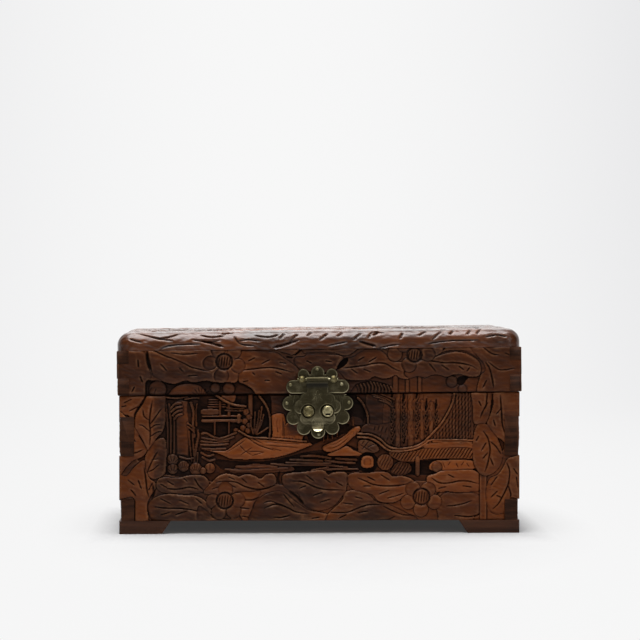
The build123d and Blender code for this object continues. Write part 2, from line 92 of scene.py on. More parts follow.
def nearest(x: Array, y: Array, line: Array) -> tuple[Array, Array]:
    """Measure from many points to a line.

    Args:
        x: Points' first coordinate.
        y: Points' second coordinate.
        line: The line's corners.

    Returns:
        The distance to the line and the share of its length at the nearest place.
    """
    best, along = np.full(x.shape, 1e9), np.zeros(x.shape)
    lengths = np.hypot(*np.diff(line, axis=0).T)
    total, start = lengths.sum(), 0.0
    for (ax, ay), (bx, by), length in zip(line, line[1:], lengths):
        dx, dy = bx - ax, by - ay
        t = np.clip(((x - ax) * dx + (y - ay) * dy) / (length**2 + 1e-12), 0, 1)
        d = np.hypot(x - ax - t * dx, y - ay - t * dy)
        closer = d < best
        best = np.where(closer, d, best)
        along = np.where(closer, (start + t * length) / total, along)
        start += length
    return best, along


def enclosed(x: Array, y: Array, line: Array) -> Array:
    """Tell which points lie inside a closed line, by the even-odd rule."""
    odd = np.zeros(x.shape, bool)
    for (ax, ay), (bx, by) in zip(line, line[1:]):
        if ay == by:
            continue
        at = (bx - ax) * (y - ay) / (by - ay) + ax
        odd ^= ((ay > y) != (by > y)) & (x < at)
    return odd


def blur(grid: Array, cells: int) -> Array:
    """Blur a grid with a box of 2 * cells + 1, twice each way."""
    width = 2 * cells + 1
    for _ in range(4):
        sums = np.cumsum(np.pad(grid, ((cells + 1, cells), (0, 0)), mode="edge"), axis=0)
        grid = ((sums[width:] - sums[:-width]) / width).T
    return grid


@dataclass(frozen=True)
class Placement:
    """How a pattern is laid on a board: scaled, mirrored, turned and moved.

    Mirroring comes first, about the pattern's own line x = 0.
    """

    dx: float = 0.0
    dy: float = 0.0
    scale: float = 1.0
    mirror: bool = False
    turn: float = 0.0

    def laid(self, path: Array) -> Array:
        """Move a path from the pattern to the board."""
        p = path * (self.scale * (-1 if self.mirror else 1), self.scale)
        c, s = cos(radians(self.turn)), sin(radians(self.turn))
        return p @ np.array([[c, s], [-s, c]]) + (self.dx, self.dy)


# ---- Relief carving ----


@dataclass(frozen=True)
class Leaf:
    """A broad carved leaf: outline, midrib and veins, each a path in millimetres."""

    outline: str
    rib: str
    veins: str


def leaves(text: str) -> tuple[Leaf, ...]:
    """Read leaves parted by ";", each an outline, a midrib and veins parted by "|"."""
    return tuple(Leaf(*(part.strip() for part in leaf.split("|"))) for leaf in text.split(";"))


class Relief:
    """A carved face as a grid of heights, in millimetres over the uncut board.

    Heights h stay below zero. tone is how light and warm the stain is, from 0 to 1; forms
    that stand in the light are given a high tone, which is painted light. A crest stands out
    over the fine width. wear makes crests pale, partly worn by hands and partly
    painted highlight; ledges makes walls that face up pale, a painted highlight; and
    lean makes crests paler towards the lower right, a painted reflection.
    """

    DEEPEST = -4.2
    fine, wear, ledges, lean = 0.9, 0.3, 0.9, 0.0

    def __init__(self, low: Pair, high: Pair, cell: float, level: float) -> None:
        """Start a flat face.

        Args:
            low: Lowest corner of the face.
            high: Highest corner of the face.
            cell: Size of a grid cell.
            level: Height of the whole face before carving.
        """
        self.cell = cell
        self.u = np.arange(low[0], high[0] + cell, cell)
        self.v = np.arange(low[1], high[1] + cell, cell)
        self.h = np.full((len(self.v), len(self.u)), level)
        self.tone = np.full_like(self.h, 0.4)
        self.place = Placement()

    def window(self, line: Array, margin: float) -> tuple[Any, Array, Array]:
        """Find the cells round a line.

        Args:
            line: Points on the board.
            margin: How far round them to reach.

        Returns:
            The index of the cells, and their two coordinates.
        """
        lo, hi = line.min(0) - margin, line.max(0) + margin
        j0, j1 = np.searchsorted(self.u, (lo[0], hi[0]))
        i0, i1 = np.searchsorted(self.v, (lo[1], hi[1]))
        x, y = np.meshgrid(self.u[j0:j1], self.v[i0:i1])
        return (slice(i0, i1), slice(j0, j1)), x, y

    def path(self, text: str, closed: bool = False) -> Array:
        """Read a path, lay it on the board and smooth it."""
        laid = self.place.laid(points(text))
        return laid if len(laid) < 3 else smooth(laid, closed)

    def circle(self, x: float, y: float, radius: float) -> Array:
        """Lay a circle on the board as a closed line."""
        a = np.linspace(0, 2 * pi, 25)
        ring = np.stack([x + radius * np.cos(a), y + radius * np.sin(a)], 1)
        return self.place.laid(ring)

    def raise_area(self, line: Array, level: float, cut: float = 1.0, tone: float | None = None,
                   crown: float = 0.0, edge: float = 3.0, tilt: float = 0.0) -> None:
        """Set everything inside a closed line to a level, with a knife cut round it.

        Args:
            line: Closed line on the board.
            level: Height inside.
            cut: Depth of the cut round the outside.
            tone: How light and warm the stain is inside, set high on forms painted as lit;
            chosen from the place where left out.
            crown: How much lower the rim lies than the middle.
            edge: Width over which it falls.
            tilt: Height difference from one side to the other.
        """
        view, x, y = self.window(line, 3.0)
        scale = self.place.scale
        d, _ = nearest(x, y, line)
        top = level - crown * (1 - np.clip(d / (edge * scale), 0, 1)) ** 2
        (cx, cy), (w, t) = line.mean(0), np.ptp(line, axis=0) + 1
        if tilt:
            top = top + tilt * ((x - cx) / w * sin(3 * cx) + (y - cy) / t * cos(2 * cy))
            top = top + 0.3 * tilt * np.sin(x / 3.1 + y / 4.3 + cx) * np.clip(d / 4, 0, 1)
        if tone is None:
            tone = 0.45 + 0.3 * sin(12.9 * cx + 4.1 * cy)
        h, within = self.h[view], enclosed(x, y, line)
        pressed = 0.66 + 0.34 * np.sin(x / 4.7 + cy) * np.sin(y / 3.9 + cx)
        around = h - cut * pressed * np.exp(-((d / (0.5 * scale)) ** 2))
        self.h[view] = np.where(within, top, around)
        self.tone[view] = np.where(within, tone, self.tone[view])

    def area(self, outline: str, *values: float, **named: float) -> None:
        """Set the inside of an outline; the values are those of raise_area."""
        self.raise_area(self.path(outline, True), *values, **named)

    def strokes(self, text: str, margin: float) -> Iterator[tuple[Any, Array, Array]]:
        """Walk along paths parted by "/".

        Args:
            text: The paths.
            margin: How far round each path to reach.

        Yields:
            The index of the cells, their distance to the path and the share of its length.
        """
        for piece in filter(None, text.split("/")):
            line = self.path(piece)
            view, x, y = self.window(line, margin)
            yield view, *nearest(x, y, line)

    def groove(self, text: str, width: float = 1.5, depth: float = 0.9) -> None:
        """Cut tapering V grooves along paths parted by "/"."""
        for view, d, t in self.strokes(text, width):
            taper = np.clip(np.minimum(t + 0.06, 1.02 - t) * 5, 0.0, 1.0) ** 0.6
            reach = 0.5 * width * self.place.scale * (0.4 + 0.6 * taper)
            self.h[view] -= depth * taper * np.clip(1 - d / reach, 0, 1)

    def bar(self, text: str, width: float, level: float, roundness: float = 0.3,
            cut: float = 0.6) -> None:
        """Leave raised strips standing along paths parted by "/"."""
        half, soft = 0.5 * width * self.place.scale, 0.8 * self.place.scale
        for view, d, _ in self.strokes(text, width + 2):
            top = level - roundness * (d / half) ** 2
            around = self.h[view] - cut * np.exp(-(((d - half) / soft) ** 2))
            self.h[view] = np.where(d < half, top, around)

    def hatch(self, outline: str, angle: float, pitch: float, depth: float = 0.5,
              share: float = 0.7, wobble: float = 0.4) -> None:
        """Fill an outline with parallel V cuts.

        Args:
            outline: Closed path.
            angle: Direction of the cuts, in degrees from the first axis.
            pitch: Distance from cut to cut.
            depth: Depth of each cut.
            share: Share of the pitch that a cut is wide.
            wobble: How far the cuts wander.
        """
        line = self.path(outline, True)
        view, x, y = self.window(line, 0.5)
        a = radians(self.place.turn + (180 - angle if self.place.mirror else angle))
        run = x * cos(a) + y * sin(a)
        across = -x * sin(a) + y * cos(a)
        pitch *= self.place.scale
        phase = (across + wobble * np.sin(run / 2.7) + 0.3 * wobble * np.sin(run * 1.3)) / pitch
        saw = np.abs(phase % 1.0 - 0.5) * 2
        d, _ = nearest(x, y, line)
        fade = np.clip(d / 0.8, 0, 1) * enclosed(x, y, line)
        self.h[view] -= depth * fade * np.clip((saw - 1 + share) / share, 0, 1)

    def fan(self, x: float, y: float, radii: Pair, angles: Pair, count: int, width: float,
            depth: float) -> None:
        """Cut strokes that spread from a point.

        Args:
            x: Middle of the fan.
            y: Middle of the fan.
            radii: Where strokes start and end.
            angles: First and last direction, in degrees.
            count: Number of strokes.
            width: Width of a stroke.
            depth: Depth of a stroke.
        """
        for a in np.radians(np.linspace(*angles, count)):
            self.groove(" ".join(f"{x + r * cos(a):.3f},{y + r * sin(a):.3f}"
                                 for r in (radii[0], sum(radii) / 2, radii[1])), width, depth)

    def foliage(self, shapes: Iterable[Leaf], tone: float | None = None) -> None:
        """Carve broad leaves, each with its midrib and veins."""
        for leaf in shapes:
            self.area(leaf.outline, -0.25, 1.0, tone, crown=0.75, edge=5.5, tilt=0.9)
            self.groove(leaf.rib, 1.9, 1.3)
            self.groove(leaf.veins, 1.7, 1.15)

    def blossom(self, x: float, y: float, radius: float, petals: str) -> None:
        """Carve a blossom: rounded petals round a ringed and striped eye.

        Args:
            x: Middle of the eye.
            y: Middle of the eye.
            radius: Radius of the eye.
            petals: Path through the petals' middles.
        """
        for px, py in points(petals):
            petal = self.circle(px, py, 5.4)
            self.raise_area(petal, -0.4, 0.8, 0.4, crown=0.5, edge=2.6)
        self.raise_area(self.circle(x, y, radius + 1.4), -1.6, 0.3, 0.2)
        eye = self.circle(x, y, radius)
        self.raise_area(eye, -0.6, 0.8, 0.3, crown=0.7, edge=2.5)
        for k in range(-2, 3):
            reach = sqrt(max(radius**2 - (2.0 * k) ** 2, 1)) * 0.8
            self.groove(f"{x + 2.0 * k - 0.5},{y - reach} {x + 2.0 * k + 0.5},{y + reach}", 1.4,
                        1.0)

    def pebble(self, x: float, y: float, radius: float, strokes: int = 0,
               level: float = -0.5) -> None:
        """Carve a rounded stone or shrub, with fanned cuts where it has strokes."""
        self.raise_area(self.circle(x, y, radius), level, 1.2, crown=0.9, edge=radius * 0.8)
        if strokes:
            self.fan(x, y - radius * 0.7, (radius * 0.3, radius * 1.5), (25, 155), strokes, 0.9,
                     0.5)

    def worn_border(self, low: Pair, high: Pair, slope: float = 0.0) -> None:
        """Leave tool marks, and round off the face near the board's own edges.

        Args:
            low: Lowest corner of the board.
            high: Highest corner of the board.
            slope: Rise of the upper edge along the board.
        """
        self.place = Placement()
        self.tool_marks()
        u, v = np.meshgrid(self.u, self.v)
        d = np.minimum.reduce([u - low[0], high[0] - u, v - low[1], high[1] + slope * u - v])
        self.h -= 0.5 * np.clip(1 - d / 1.3, 0, 1.4) ** 2

    def stain(self, *steps: Pair) -> None:
        """Lighten or darken the stain along the board, from (place, change) pairs."""
        places, changes = zip(*steps)
        self.tone = np.clip(self.tone + np.interp(self.u, places, changes), 0, 1)

    def tool_marks(self) -> None:
        """Add the faint waves that a hand gouge leaves, the same on each run."""
        rng, amount = np.random.default_rng(SEED), 0.07
        u, v = np.meshgrid(self.u, self.v)
        marks = np.zeros_like(self.h)
        for _ in range(9):
            a, w = rng.uniform(-0.5, 0.5), rng.uniform(2.2, 6.0)
            marks += np.sin((u * sin(a) + v * cos(a)) * 2 * pi / w
                            + 2.0 * np.sin(u / rng.uniform(5, 16) + rng.uniform(0, 6)))
        self.h += amount * marks / 3 - amount

    def finished(self) -> Relief:
        """Keep every height between the deepest cut and the uncut face."""
        self.h = np.clip(self.h, self.DEEPEST, -0.04)
        return self

    def sampled(self, grid: Array, u: Array, v: Array) -> Array:
        """Read a grid between its cells.

        Args:
            grid: Heights or shades.
            u: Places along the face.
            v: Places up the face.

        Returns:
            The values there.
        """
        x = np.clip((u - self.u[0]) / self.cell, 0, len(self.u) - 1.001)
        y = np.clip((v - self.v[0]) / self.cell, 0, len(self.v) - 1.001)
        j, i = x.astype(int), y.astype(int)
        fx, fy = x - j, y - i
        low = grid[i, j] * (1 - fx) + grid[i, j + 1] * fx
        high = grid[i + 1, j] * (1 - fx) + grid[i + 1, j + 1] * fx
        return low * (1 - fy) + high * fy

    def shades(self) -> tuple[Array, Array, Array]:
        """Work out grime and painted shade in the hollows, and how pale crests and upward walls
        are.

        Returns:
            Three grids from 0 to 1: the hollows' grime and painted shade, the crests' wear and
            painted highlights, and the stain's tone.
        """
        wide = blur(self.h, max(1, round(2.6 / self.cell)))
        fine = blur(self.h, max(1, round(self.fine / self.cell)))
        # Hollows: grime in the cuts, and painted shade that grows with the depth of the sunk
        # ground.
        deep = np.clip(-wide - 1.0, 0, 3) / 2.6
        hollow = np.clip((wide - self.h - 0.15) / 1.3 + deep, 0, 0.9)
        hollow = np.maximum(hollow, np.clip((fine - self.h - 0.06) / 0.34, 0, 1))
        # Crests are made pale, partly worn and partly painted highlight, less so the deeper they
        # lie.
        crest = np.clip((self.h - fine) / 0.22, 0, 1) * np.clip(1 + self.h / 2.4, 0, 1)
        up, right = np.gradient(self.h, self.cell)
        # Painted reflection: crests that face the lower right are made paler.
        if self.lean:
            lower = blur((up - 0.5 * right) / (np.hypot(up, right) + 0.05), 1)
            crest *= np.clip(1 - self.lean + self.lean * 1.4 * lower, 0.12, 1)
        # Painted highlight: walls that face up are made pale, and the painted shade on them is
        # lifted.
        ledge = np.clip(-up - 0.45, 0, 1)
        ledge *= np.clip(1.15 + self.h / 2.2, 0, 1)
        hollow = hollow * (1 - 0.85 * ledge)
        return hollow, np.maximum(crest * self.wear, ledge * self.ledges), self.tone


# ---- What the box's faces carry ----

# The body's leaves, as they lie round the window of the front panel.
LEFT_COLUMN = leaves("""
-150,90 -142,88 -138,84 -137,90 -132,98 -127,110 -150,110|| -141,91 -134,94.5 -130,97/-145,97
-139,100/-147,94 -143,95;
-127,62 -133,71 -137,79 -136,88 -131,96 -127,104 -122,110 -115,110 -114.5,93 -114.5,82 -117,75
-121,71|-126,66 -125.5,75 -126,85 -124,99|-125.5,78 -122,80.5 -118,81/-125.8,81 -122,86
-117,93/-126,76 -131,80 -134,81/-126,84 -130,87 -131,92/-125.5,72 -121,75 -117,76;
-150,88 -143,86 -138,80 -133,72 -128.5,64 -128,61 -132,57 -138,54.5 -143,50 -150,45|-146,60
-137,60 -131,62.5|-142,74 -136,68/-147,69 -142,63/-134,73 -130,67;
-127,62 -121,69.5 -115,70.5 -113.5,62 -114,50 -115,44.5 -121,41 -126,42 -129,48 -129.5,56 |
-128,45 -126,50 -122.5,57 -120,61|-127,46 -123,48 -119,51.5/-124,55 -120,55.5;
-150,43 -143,43 -137,50 -130,54.5 -129,48 -126,41 -122,38 -122,33 -126,27 -128,20 -127,6 -136,6
-137.5,26.5 -150,26.5|-130,49 -128.8,40 -128,33 -126.5,27|-134.5,40 -132,33/-124,38
-127,32/-142,40 -137,36/-140,33 -136,28
""")
RIGHT_COLUMN = leaves("""
127,41 132,43 136,48 139,54 142,56 150,55 150,27 142,26 140,16 131,14 127,16 124,22 123.5,30
124.5,36|139,52 141,46 140.5,38 138,31 133,22 128.5,17.5|132,42 127,35/132,31 127,26/140,35
142,29 141.5,26/144,48 147,43/146,42 147.5,33/135,26 131,28;
114,83 117,80.5 123,81.5 126,86 127,94 128,103 128,110 113,110 113.5,95|124.5,106 123.5,95
121,90 119,85|118,98 120,94/125,97 122,92;
124,80 126,74 130,71 134,70 138,66 138,60 147,58 150,62 150,110 130,110 129,95 126,86|134,103
135,90 136,79 139.5,71 142.5,66|140,72 144,66 148,61/129,84 130.5,79/136,84 142,80
146,72/134.5,92 131,88;
117,80 123,81 128,76 133,68 136,58 134,50 129,44.5 122,42.5 116.5,47 114,54 113.5,64 114.5,73 |
121.5,75.5 125,70 126.5,62 125.5,55 124,49 122.5,45.5|126.5,68 131,64 135,58/126.5,56
129,50/123.5,67 120,61/118,72 116,68/125,60 121,55
""")
LOWER_BAND = leaves("""
-120,40 -115,42 -105,41.5 -95,43.5 -87,43 -83,40 -82,35 -86,31 -95,30 -108,30 -117,31 -121,35 |
-113,33.5 -105,33 -97,34.5 -90,33|-118,37 -113,34/-113,39 -108,36/-101,41 -98,38.5/-93,41
-90,36 -86,32;
-127,22 -122,27 -113,29.5 -100,28.5 -92,28 -86,25 -82,20 -80,14 -84,10 -100,6 -115,6 -124,10
-127,17|-122,20 -113,19 -100,18.5 -92,17 -85,15|-118,26 -110,22/-104,25 -97,22/-92,26
-87,22/-118,14 -111,16/-107,14 -98,17;
-86,30 -80,38 -76,42 -70,44.5 -62,43 -60,42.2 -54,44 -48,42.5 -44,40.5 -40,43.5 -35,44 -32.5,41
-33,37 -38,34 -46,32 -52,31 -60,30 -70,29|-77,38 -70,39 -62,38 -56,35 -48,33 -42,33 -32,36 |
-68,42 -63,40/-58,41 -54,37.5/-46,38 -41,34.5/-68,37 -62,34/-80,33 -74,35;
-62,30 -52,31 -44,31 -46,27 -50,20 -50,6 -62,6 -66,13 -60,18 -58,24|-57,25 -50,25 -45,27 |
-59,19 -52,18.5/-58,13 -52,12;
-90,20 -84,17 -78,12 -66,11 -60,14 -58,6 -80,6 -90,8|-80,12.3 -70,12.6|-66,15 -60,15;
-49,6 -49,20 -45,26 -38,30 -31,31.5 -26,30 -20,25 -14,20.5 -8,17 0,15.5 8,13 8,6|-41,19
-33,21.5 -24,19 -18,16 -8,14.5|-42,22.5 -37,24 -31,22 -25,20/-27,29 -23,24 -19,19.5/-34,12
-28,12 -22,13.5/-6,11 0,12;
18,30 25,32 33,30 38,27 42,23 50,21.5 58,18 66,14 72,11 70,6 20,6 4,6 6,14 12,20 17,25|8,15.5
20,15.5 28,18.5 36,21 46,21|17,22.5 25,21.5/14,11 20,14/28,15 36,16.5/26,27 32,25.5/47,20 55,16
62,13.5 70,13/44,10 50,9.8 56,12.5;
-28,42 -24,44.5 -12,45.5 0,47 4,45.8 6,43.5 10,45 18,45.5 21,42 20,36 19,31 16,27 12,22 8,19 2,17
-4,17 -10,20 -14,25 -16,29.5 -22,32 -27,36|-20,39 -12,38 -4,34.5 4,32.5 18,32|-10,43
-4,38.5/3,41 8,37.5/-15,33.5 -10,35.5/-5,28 2,30.5/0,23 8,25.5/12,38 17,35;
21,43 26,45 34,44.5 42,45.5 50,45 54,42 60,42.5 66,41 70,38 68,33 66,30 62,27 57,23.5 50,22.5
43,24 39,28.5 30,31 24,33 20.5,38|28,41 34,38.5 40,36 50,35 60,35.5 66,37|50,26 56,27.5
62,29.5/44,29 52,32/45,43.5 52,39/35,42 41,39/32,35 38,35;
88,24 91,28.5 95,30 103,29.3 112,29.8 118,28 120,22 119,15 115,12 110,6 90,6 88,13 87,18|100,13
110,12 117,13 122,16|94,20 101,20.5 108,22 113,24;
80,42 86,44 90,46 100,46.5 112,47 117,45 119.5,42 120,36 118.5,31 113,30.5 103,30 94,31 88,30
84,33 80,36|83,41 88,37.5 95,37 103,38.5 110,38.5 118,36.5|95,43.5 100,41/88,33
94,34.5/106,35 113,34
""")
LEFT_BLOSSOM = (-70.5, 24.5, 5.4, "-79,24 -75,16 -64,17 -61,25 -70,33")
RIGHT_BLOSSOM = (75.5, 27.0, 5.4, "65.5,23 75,17.5 85,23 80.5,32.5 69,33")

# The lid's front rail.
LID_LEAVES = leaves("""
-152,100 -152,140 -129,140 -128.5,128 -126,121 -125,116 -129,112 -131,100|-134.5,129 -134,123 |
-137,109 -139,105/-133,117 -131,112;
-127,141 -125.5,128 -124,120 -123,117 -119,115 -115,112.5 -108,111.2 -103,112.5 -99,114 -94,112.2
-84,113.5 -78,112.3 -70,112.6 -62,112.5 -60,120 -62,130 -66,141|-128,138.5 -115,132 -108,129.5
-100,126 -94,123 -80,120|-118,126 -113,120.5/-104,123 -101,120/-110,134 -100,133
-88,134/-98,117 -90,117.5;
-60,134 -50,135.5 -40,135 -32,134 -28,131 -22,127 -17,123 -15,119 -18,112 -26,100 -44,100 -50,107
-56,111 -60,113 -60,122|-58,121 -50,122 -40,123 -32,122.5 -22,120|-53,128 -48,130.5/-43,126
-37,129/-50,119.5 -48,117.5/-33,120 -28,118/-57,112.5 -53,113.5/-41,113.7 -37,113.5/-30,127
-25,126;
-66,141 -60,137.5 -50,137.5 -36,137 -26,134 -19,133 -14,141||;
-18,130.5 -12,131 -8,133 10,132.5 17,130.5 14,124 8,120 -10,120 -15,122 -19,127|| -10,128
-6,126/4,128 9,127;
-11,141 -12,134 -7,134.5 10,134.2 18,132 24,134 28,141|| -2,137 8,137.5;
13,122.5 19,129.5 25,131 29,134 34,136.5 40,137 46,135 50,131 52,128 58,127 66,127 66,120 66,115
60,115 56,117.5 52,115.5 46,115 40,116.5 35,114 21,114 16,118|17,122.5 25,123.5 33,124.5 40,126
48,126 55,122 62,119.5|28,128 33,131/36,127 42,130.5/23,122 28,118.5/32,122 38,119.5;
84,131.5 92,135 100,136 108,135.5 114,132 118,129.5 121,133 121,142 84,142||;
68,127 78,128.5 85,130.5 92,133 100,134.5 108,133.5 114,130.5 118,127 119.5,122 118,117 112,116
104,118 98,117.5 94,116 89,117.5 83,117.5 78,115.5 72,116.5 66,115 62,119|78,128.5 92,126.5
100,126.5 108,125.5 113,124 117,121.5|103,124 107,121/81,126 86,120/90,125 96,121/111,123
109,120;
112,142 118,130.5 121,127 123,121 119,116 119,100 152,100 152,142|123,127 126,122 128,114
129,108|125,127 130,123 135,121 145,122.5/121,138 128,133 133,132.5/121,108 124,114/137,134
143,131
""")
LID_LEFT_BLOSSOM = (-70.8, 127.5, 5.2, "-81.2,126.6 -73,117.2 -60.8,124.4 -63.8,135 -75,135.3")
LID_RIGHT_BLOSSOM = (70.0, 132.5, 4.8, "66,125 55.5,133 62,140 71,141.5 80,133")

# The board: scrolled stems over the rounded front edge, slanted nicks by the lock, and the
# broad notches between the leaf tips.
EDGE_CUTS = """
-135.5,149 -123.6,146 -108.4,143/-140,144.5 -131,141.8/-120.3,144.5 -110.6,146.2
-102,149/-118,136.5 -112,139 -100,140.3 -88,140.5/-94.3,144 -82.3,142.3 -73.7,143.4/-88,147.5
-80,146 -70,147/-62.8,146.2 -58.5,140.7 -47.6,139.1/-47.6,147.2 -36.8,146 -29.2,148.3/-29.2,144.5
-25.9,149/-22.6,141.8 -15.6,148.5/-9,147 -5,150/0.1,143.5 6.7,149/13.9,146.5 17.7,150/25.3,143.6
31.8,149.4/36.2,145 40.5,150 49.2,149/59.5,144.5 62.2,149.4/74.1,147 79.6,150.5/83.9,143.8
91.5,150.5/96.9,148 100.2,151/110,148 113.2,151.5/117,148.3 120.2,151.8/5.8,139.1
21,142.3/42.7,137 51.4,139.2 60,140.3/80.7,140.7 96.9,142.9 118.6,143.4/124,146 132,147.5
139,146/-60,143 -52,144 -44,142.6
"""
EDGE_NOTCHES = """
-87,143.5 -79,141 -71,138.6/-34,138 -26,140 -16,143.6/30,142.6 36,140.4 42,138.8/-72,148.6
-64,149.4/40,147.6 44,150.2
"""


@dataclass
class Scenery:
    """The window of the front panel: trees, a pavilion, boats, cypresses and a great roof."""

    r: Relief

    def carve(self) -> None:
        """Carve the whole window, from its sunk ground up."""
        self.r.area("-116,44 113.5,44 113.5,110 -116,110", -2.3, cut=0.0)
        for part in (self.sky, self.trees, self.pavilion, self.hills, self.water, self.arch,
                     self.cypresses, self.roof, self.shore):
            part()

    def sky(self) -> None:
        """Plain fields behind everything, with upright gouge marks."""
        r = self.r
        r.area("-106.5,52 -97,52 -97,110 -106.5,110", -1.6, 0.5, 0.6)
        r.area("-37,68 -13,68 -13,110 -37,110", -1.9, 0.6, 0.3, crown=0.3)
        r.area("-36,69 -36,86 -33,88.6 -29,89 -26,86 -25.5,69", -0.7, 0.9, 0.95, crown=0.9,
               edge=3.5)
        r.area("-25,68.5 -25,81.5 -13.5,81.5 -13.5,68.5", -0.8, 0.9, 0.9, crown=0.3)
        r.hatch("-35,70 -14,70 -14,81 -26,84 -35,86", 88, 2.3, 0.3, 0.5)
        r.groove("-31,75 -31.5,79/-23,73 -23.5,78/-19,71 -19.4,76/-28,72 -28.2,77", 1.1, 0.6)
        r.area("36,78 53,78 53,110 36,110", -1.6, 0.5, 0.5)
        r.area("54,62 113,62 113,110 54,110", -1.4, 0.5, 0.5)

    def trees(self) -> None:
        """Two old trees at the left, fluted, with drooping crowns over rocks and shells."""
        r = self.r
        r.area("-114,58 -113.5,80 -115,97 -108,97 -106.5,80 -106.2,58", -2.3, 0.5, 0.15)
        r.bar("-113,58 -112.8,80 -114.4,97/-110.5,58 -110.3,80 -111.6,96/-108,58 -107.8,80"
              " -108.6,92", 1.5, -1.5, 0.3, 0.4)
        r.bar("-110.5,92.5 -107.5,96 -103,96.8/-110,90.5 -106.5,93.2 -102.2,94.2/-109,87.5"
              " -106,90.4 -102,91.6/-108,84.5 -105.5,87.6 -102,88.6", 1.5, -1.2)
        r.area("-116,98.5 -100,98.2 -85,98 -85,104 -116,104", -2.5, 0.4, 0.1)
        r.bar("-114,101 -106,100.4 -98,101.4/-100,99.6 -92,100.6 -86,99.4", 1.1, -1.4)
        r.area("-97.5,50 -96.5,75 -98,97 -88,97 -87,80 -89,50", -2.4, 0.5, 0.15)
        r.bar("-95.5,97 -93.6,90 -94,80 -93.2,72/-87.3,92 -89.4,82 -90,72 -92,62 -93.5,50", 1.9,
              -1.1)
        r.bar("-97,76 -96.2,65 -95,54/-94.4,74 -93.4,60 -92.4,52/-91,96 -91.8,88 -91.4,80"
              "/-98,79.5 -95.5,77.5 -93,75/-98,82 -95.6,80 -93,78.4/-90.5,60 -91,52", 1.2, -1.5)
        r.area("-115,46 -115,58 -98,58 -96,52 -88,52 -78,62 -76,50 -78,45", -2.2, 0.3, 0.25)
        r.bar("-88,60 -83,57.5 -79,58.4/-87,56.6 -82,54 -78,55/-104,57 -98,55.4 -94,56", 1.5, -1.4)
        for x, y, radius, strokes in ((-109, 55, 4.0, 4), (-109, 48, 3.8, 4), (-101, 50, 4.0, 6),
                                      (-92, 48, 4.5, 6), (-81.5, 48.5, 3.8, 3),
                                      (-86.6, 46.6, 2.4, 0)):
            r.raise_area(r.circle(x, y, radius), -0.7, 1.0, 0.6, crown=0.9, edge=radius * 0.7)
            r.fan(x, y - radius * 0.8, (radius * 0.5, radius * 1.75), (40, 140), strokes, 1.1, 0.7)

    def pavilion(self) -> None:
        """A pavilion on thin posts under a swept eave, with shrubs and a leaning spray."""
        r = self.r
        r.area("-87.5,71 -56,71 -56,104 -87.5,104", -3.2, 0.2, 0.1)
        r.area("-57,70 -37,70 -36,84 -38,104 -57,104", -3.1, 0.2, 0.1)
        r.area("-87,88.4 -87,92 -75.5,92 -75.5,88.4", -1.6, 0.4, 0.2)
        r.area("-72,98.4 -72,104 -63,104 -64,97.4", -1.5, 0.4, 0.5)
        r.bar("-82,99.2 -72,99/-82,97.4 -71,97.2/-82,95.7 -70,95.6/-83,93.8 -69,93.8", 0.9, -1.9,
              0.2, 0.3)
        r.bar("-87,87 -72,87.1 -58.5,87.2", 1.0, -1.2, 0.2)
        r.bar("-87,83.6 -72,83.8 -58.5,83.6", 2.0, -0.9, 0.15)
        r.bar("-60.2,83 -60,87.4", 2.6, -1.0, 0.15)
        r.bar("-78,73.5 -78,82.5/-67.5,74 -67.5,82.5/-74,88 -74,98", 1.3, -1.6)
        r.bar("-67.4,88 -67.5,97", 2.0, -1.4)
        r.bar("-77.5,103 -72,99.2 -66,96.2 -61,94.9 -55,94.2", 1.6, -0.7)
        r.bar("-69,93.2 -62,92.6 -56,92.8/-70,91.3 -62,91 -55,91.3", 1.0, -1.6)
        r.bar("-51.5,88 -51.5,104", 3.4, -1.0, 0.5)
        for x, y, radius in ((-54.5, 90, 2.6), (-52.5, 86, 2.4), (-55.5, 83, 2.4),
                             (-52.5, 80, 2.2), (-57, 78, 2.4), (-62, 76, 2.2), (-53.5, 76, 2.4)):
            r.pebble(x, y, radius, 3, -1.5)
        r.bar("-49,74 -48.4,82 -48,90/-48.5,74 -46,83 -45,91/-48,74 -44.5,83 -43,94/-47.5,74"
              " -43.5,81 -41.8,88/-47,73.6 -45,79 -44,84/-46.5,73.4 -42,76 -38.5,78.5/-49.5,74"
              " -51,80 -50.8,86", 1.2, -1.3, 0.3, 0.4)
        r.bar("-45,102 -40,95 -37.5,88 -36.8,80 -37.5,71", 1.4, -0.3)

    def hills(self) -> None:
        """Rock ledges, the long hull-like hill with crossed cuts, and its planks."""
        r = self.r
        r.area("-88,63 -88,74.5 -84,75 -80,72.6 -75,71.2 -70,72 -62,75.4 -57,74 -55,66 -70,60",
               -2.0, 0.5, 0.25)
        r.bar("-87.5,74 -84,74.3 -80,72 -75,70.5 -70,71.5 -62,74.6/-87.5,71 -80,69.6 -72,69"
              " -64,71.5/-88,68.5 -78,67.4 -68,68.4/-88,66 -78,65.6 -68,66.4/-87,62.8 -78,62.6"
              " -70,63", 1.5, -1.3)
        r.area("-87,62.4 -77,61.4 -69,61.8 -62,67 -55,71.6 -48,70.6 -36,69.2 -20,67.8 -5,66.6"
               " -10,64 -20,60 -30,57 -40,55.6 -55,55 -66,55.6 -70,57.2 -78,60.4", -0.35, 1.3,
               1.0, crown=0.8, edge=3.5)
        r.groove("-69,60.5 -60,66 -55,70/-60,66 -55,61 -50,58/-58.5,58.5 -54,61.5 -50,64/-50,58"
                 " -41,60.5/-55,61 -41,61", 1.2, 0.8)
        r.groove("-60,75 -50,68.5 -44,65 -33,61.5/-58.4,76 -48.6,69.8 -42,66.6", 1.4, 1.1)
        r.bar("-60,76 -52,71.6 -44,71 -30,70 -10,68.2", 1.2, -0.35)
        r.groove("-44,68.2 -30,67.2 -12,66.2/-36,63.2 -28,61.4/-40,65.6 -28,64.6 -16,63.8", 1.2,
                 0.7)

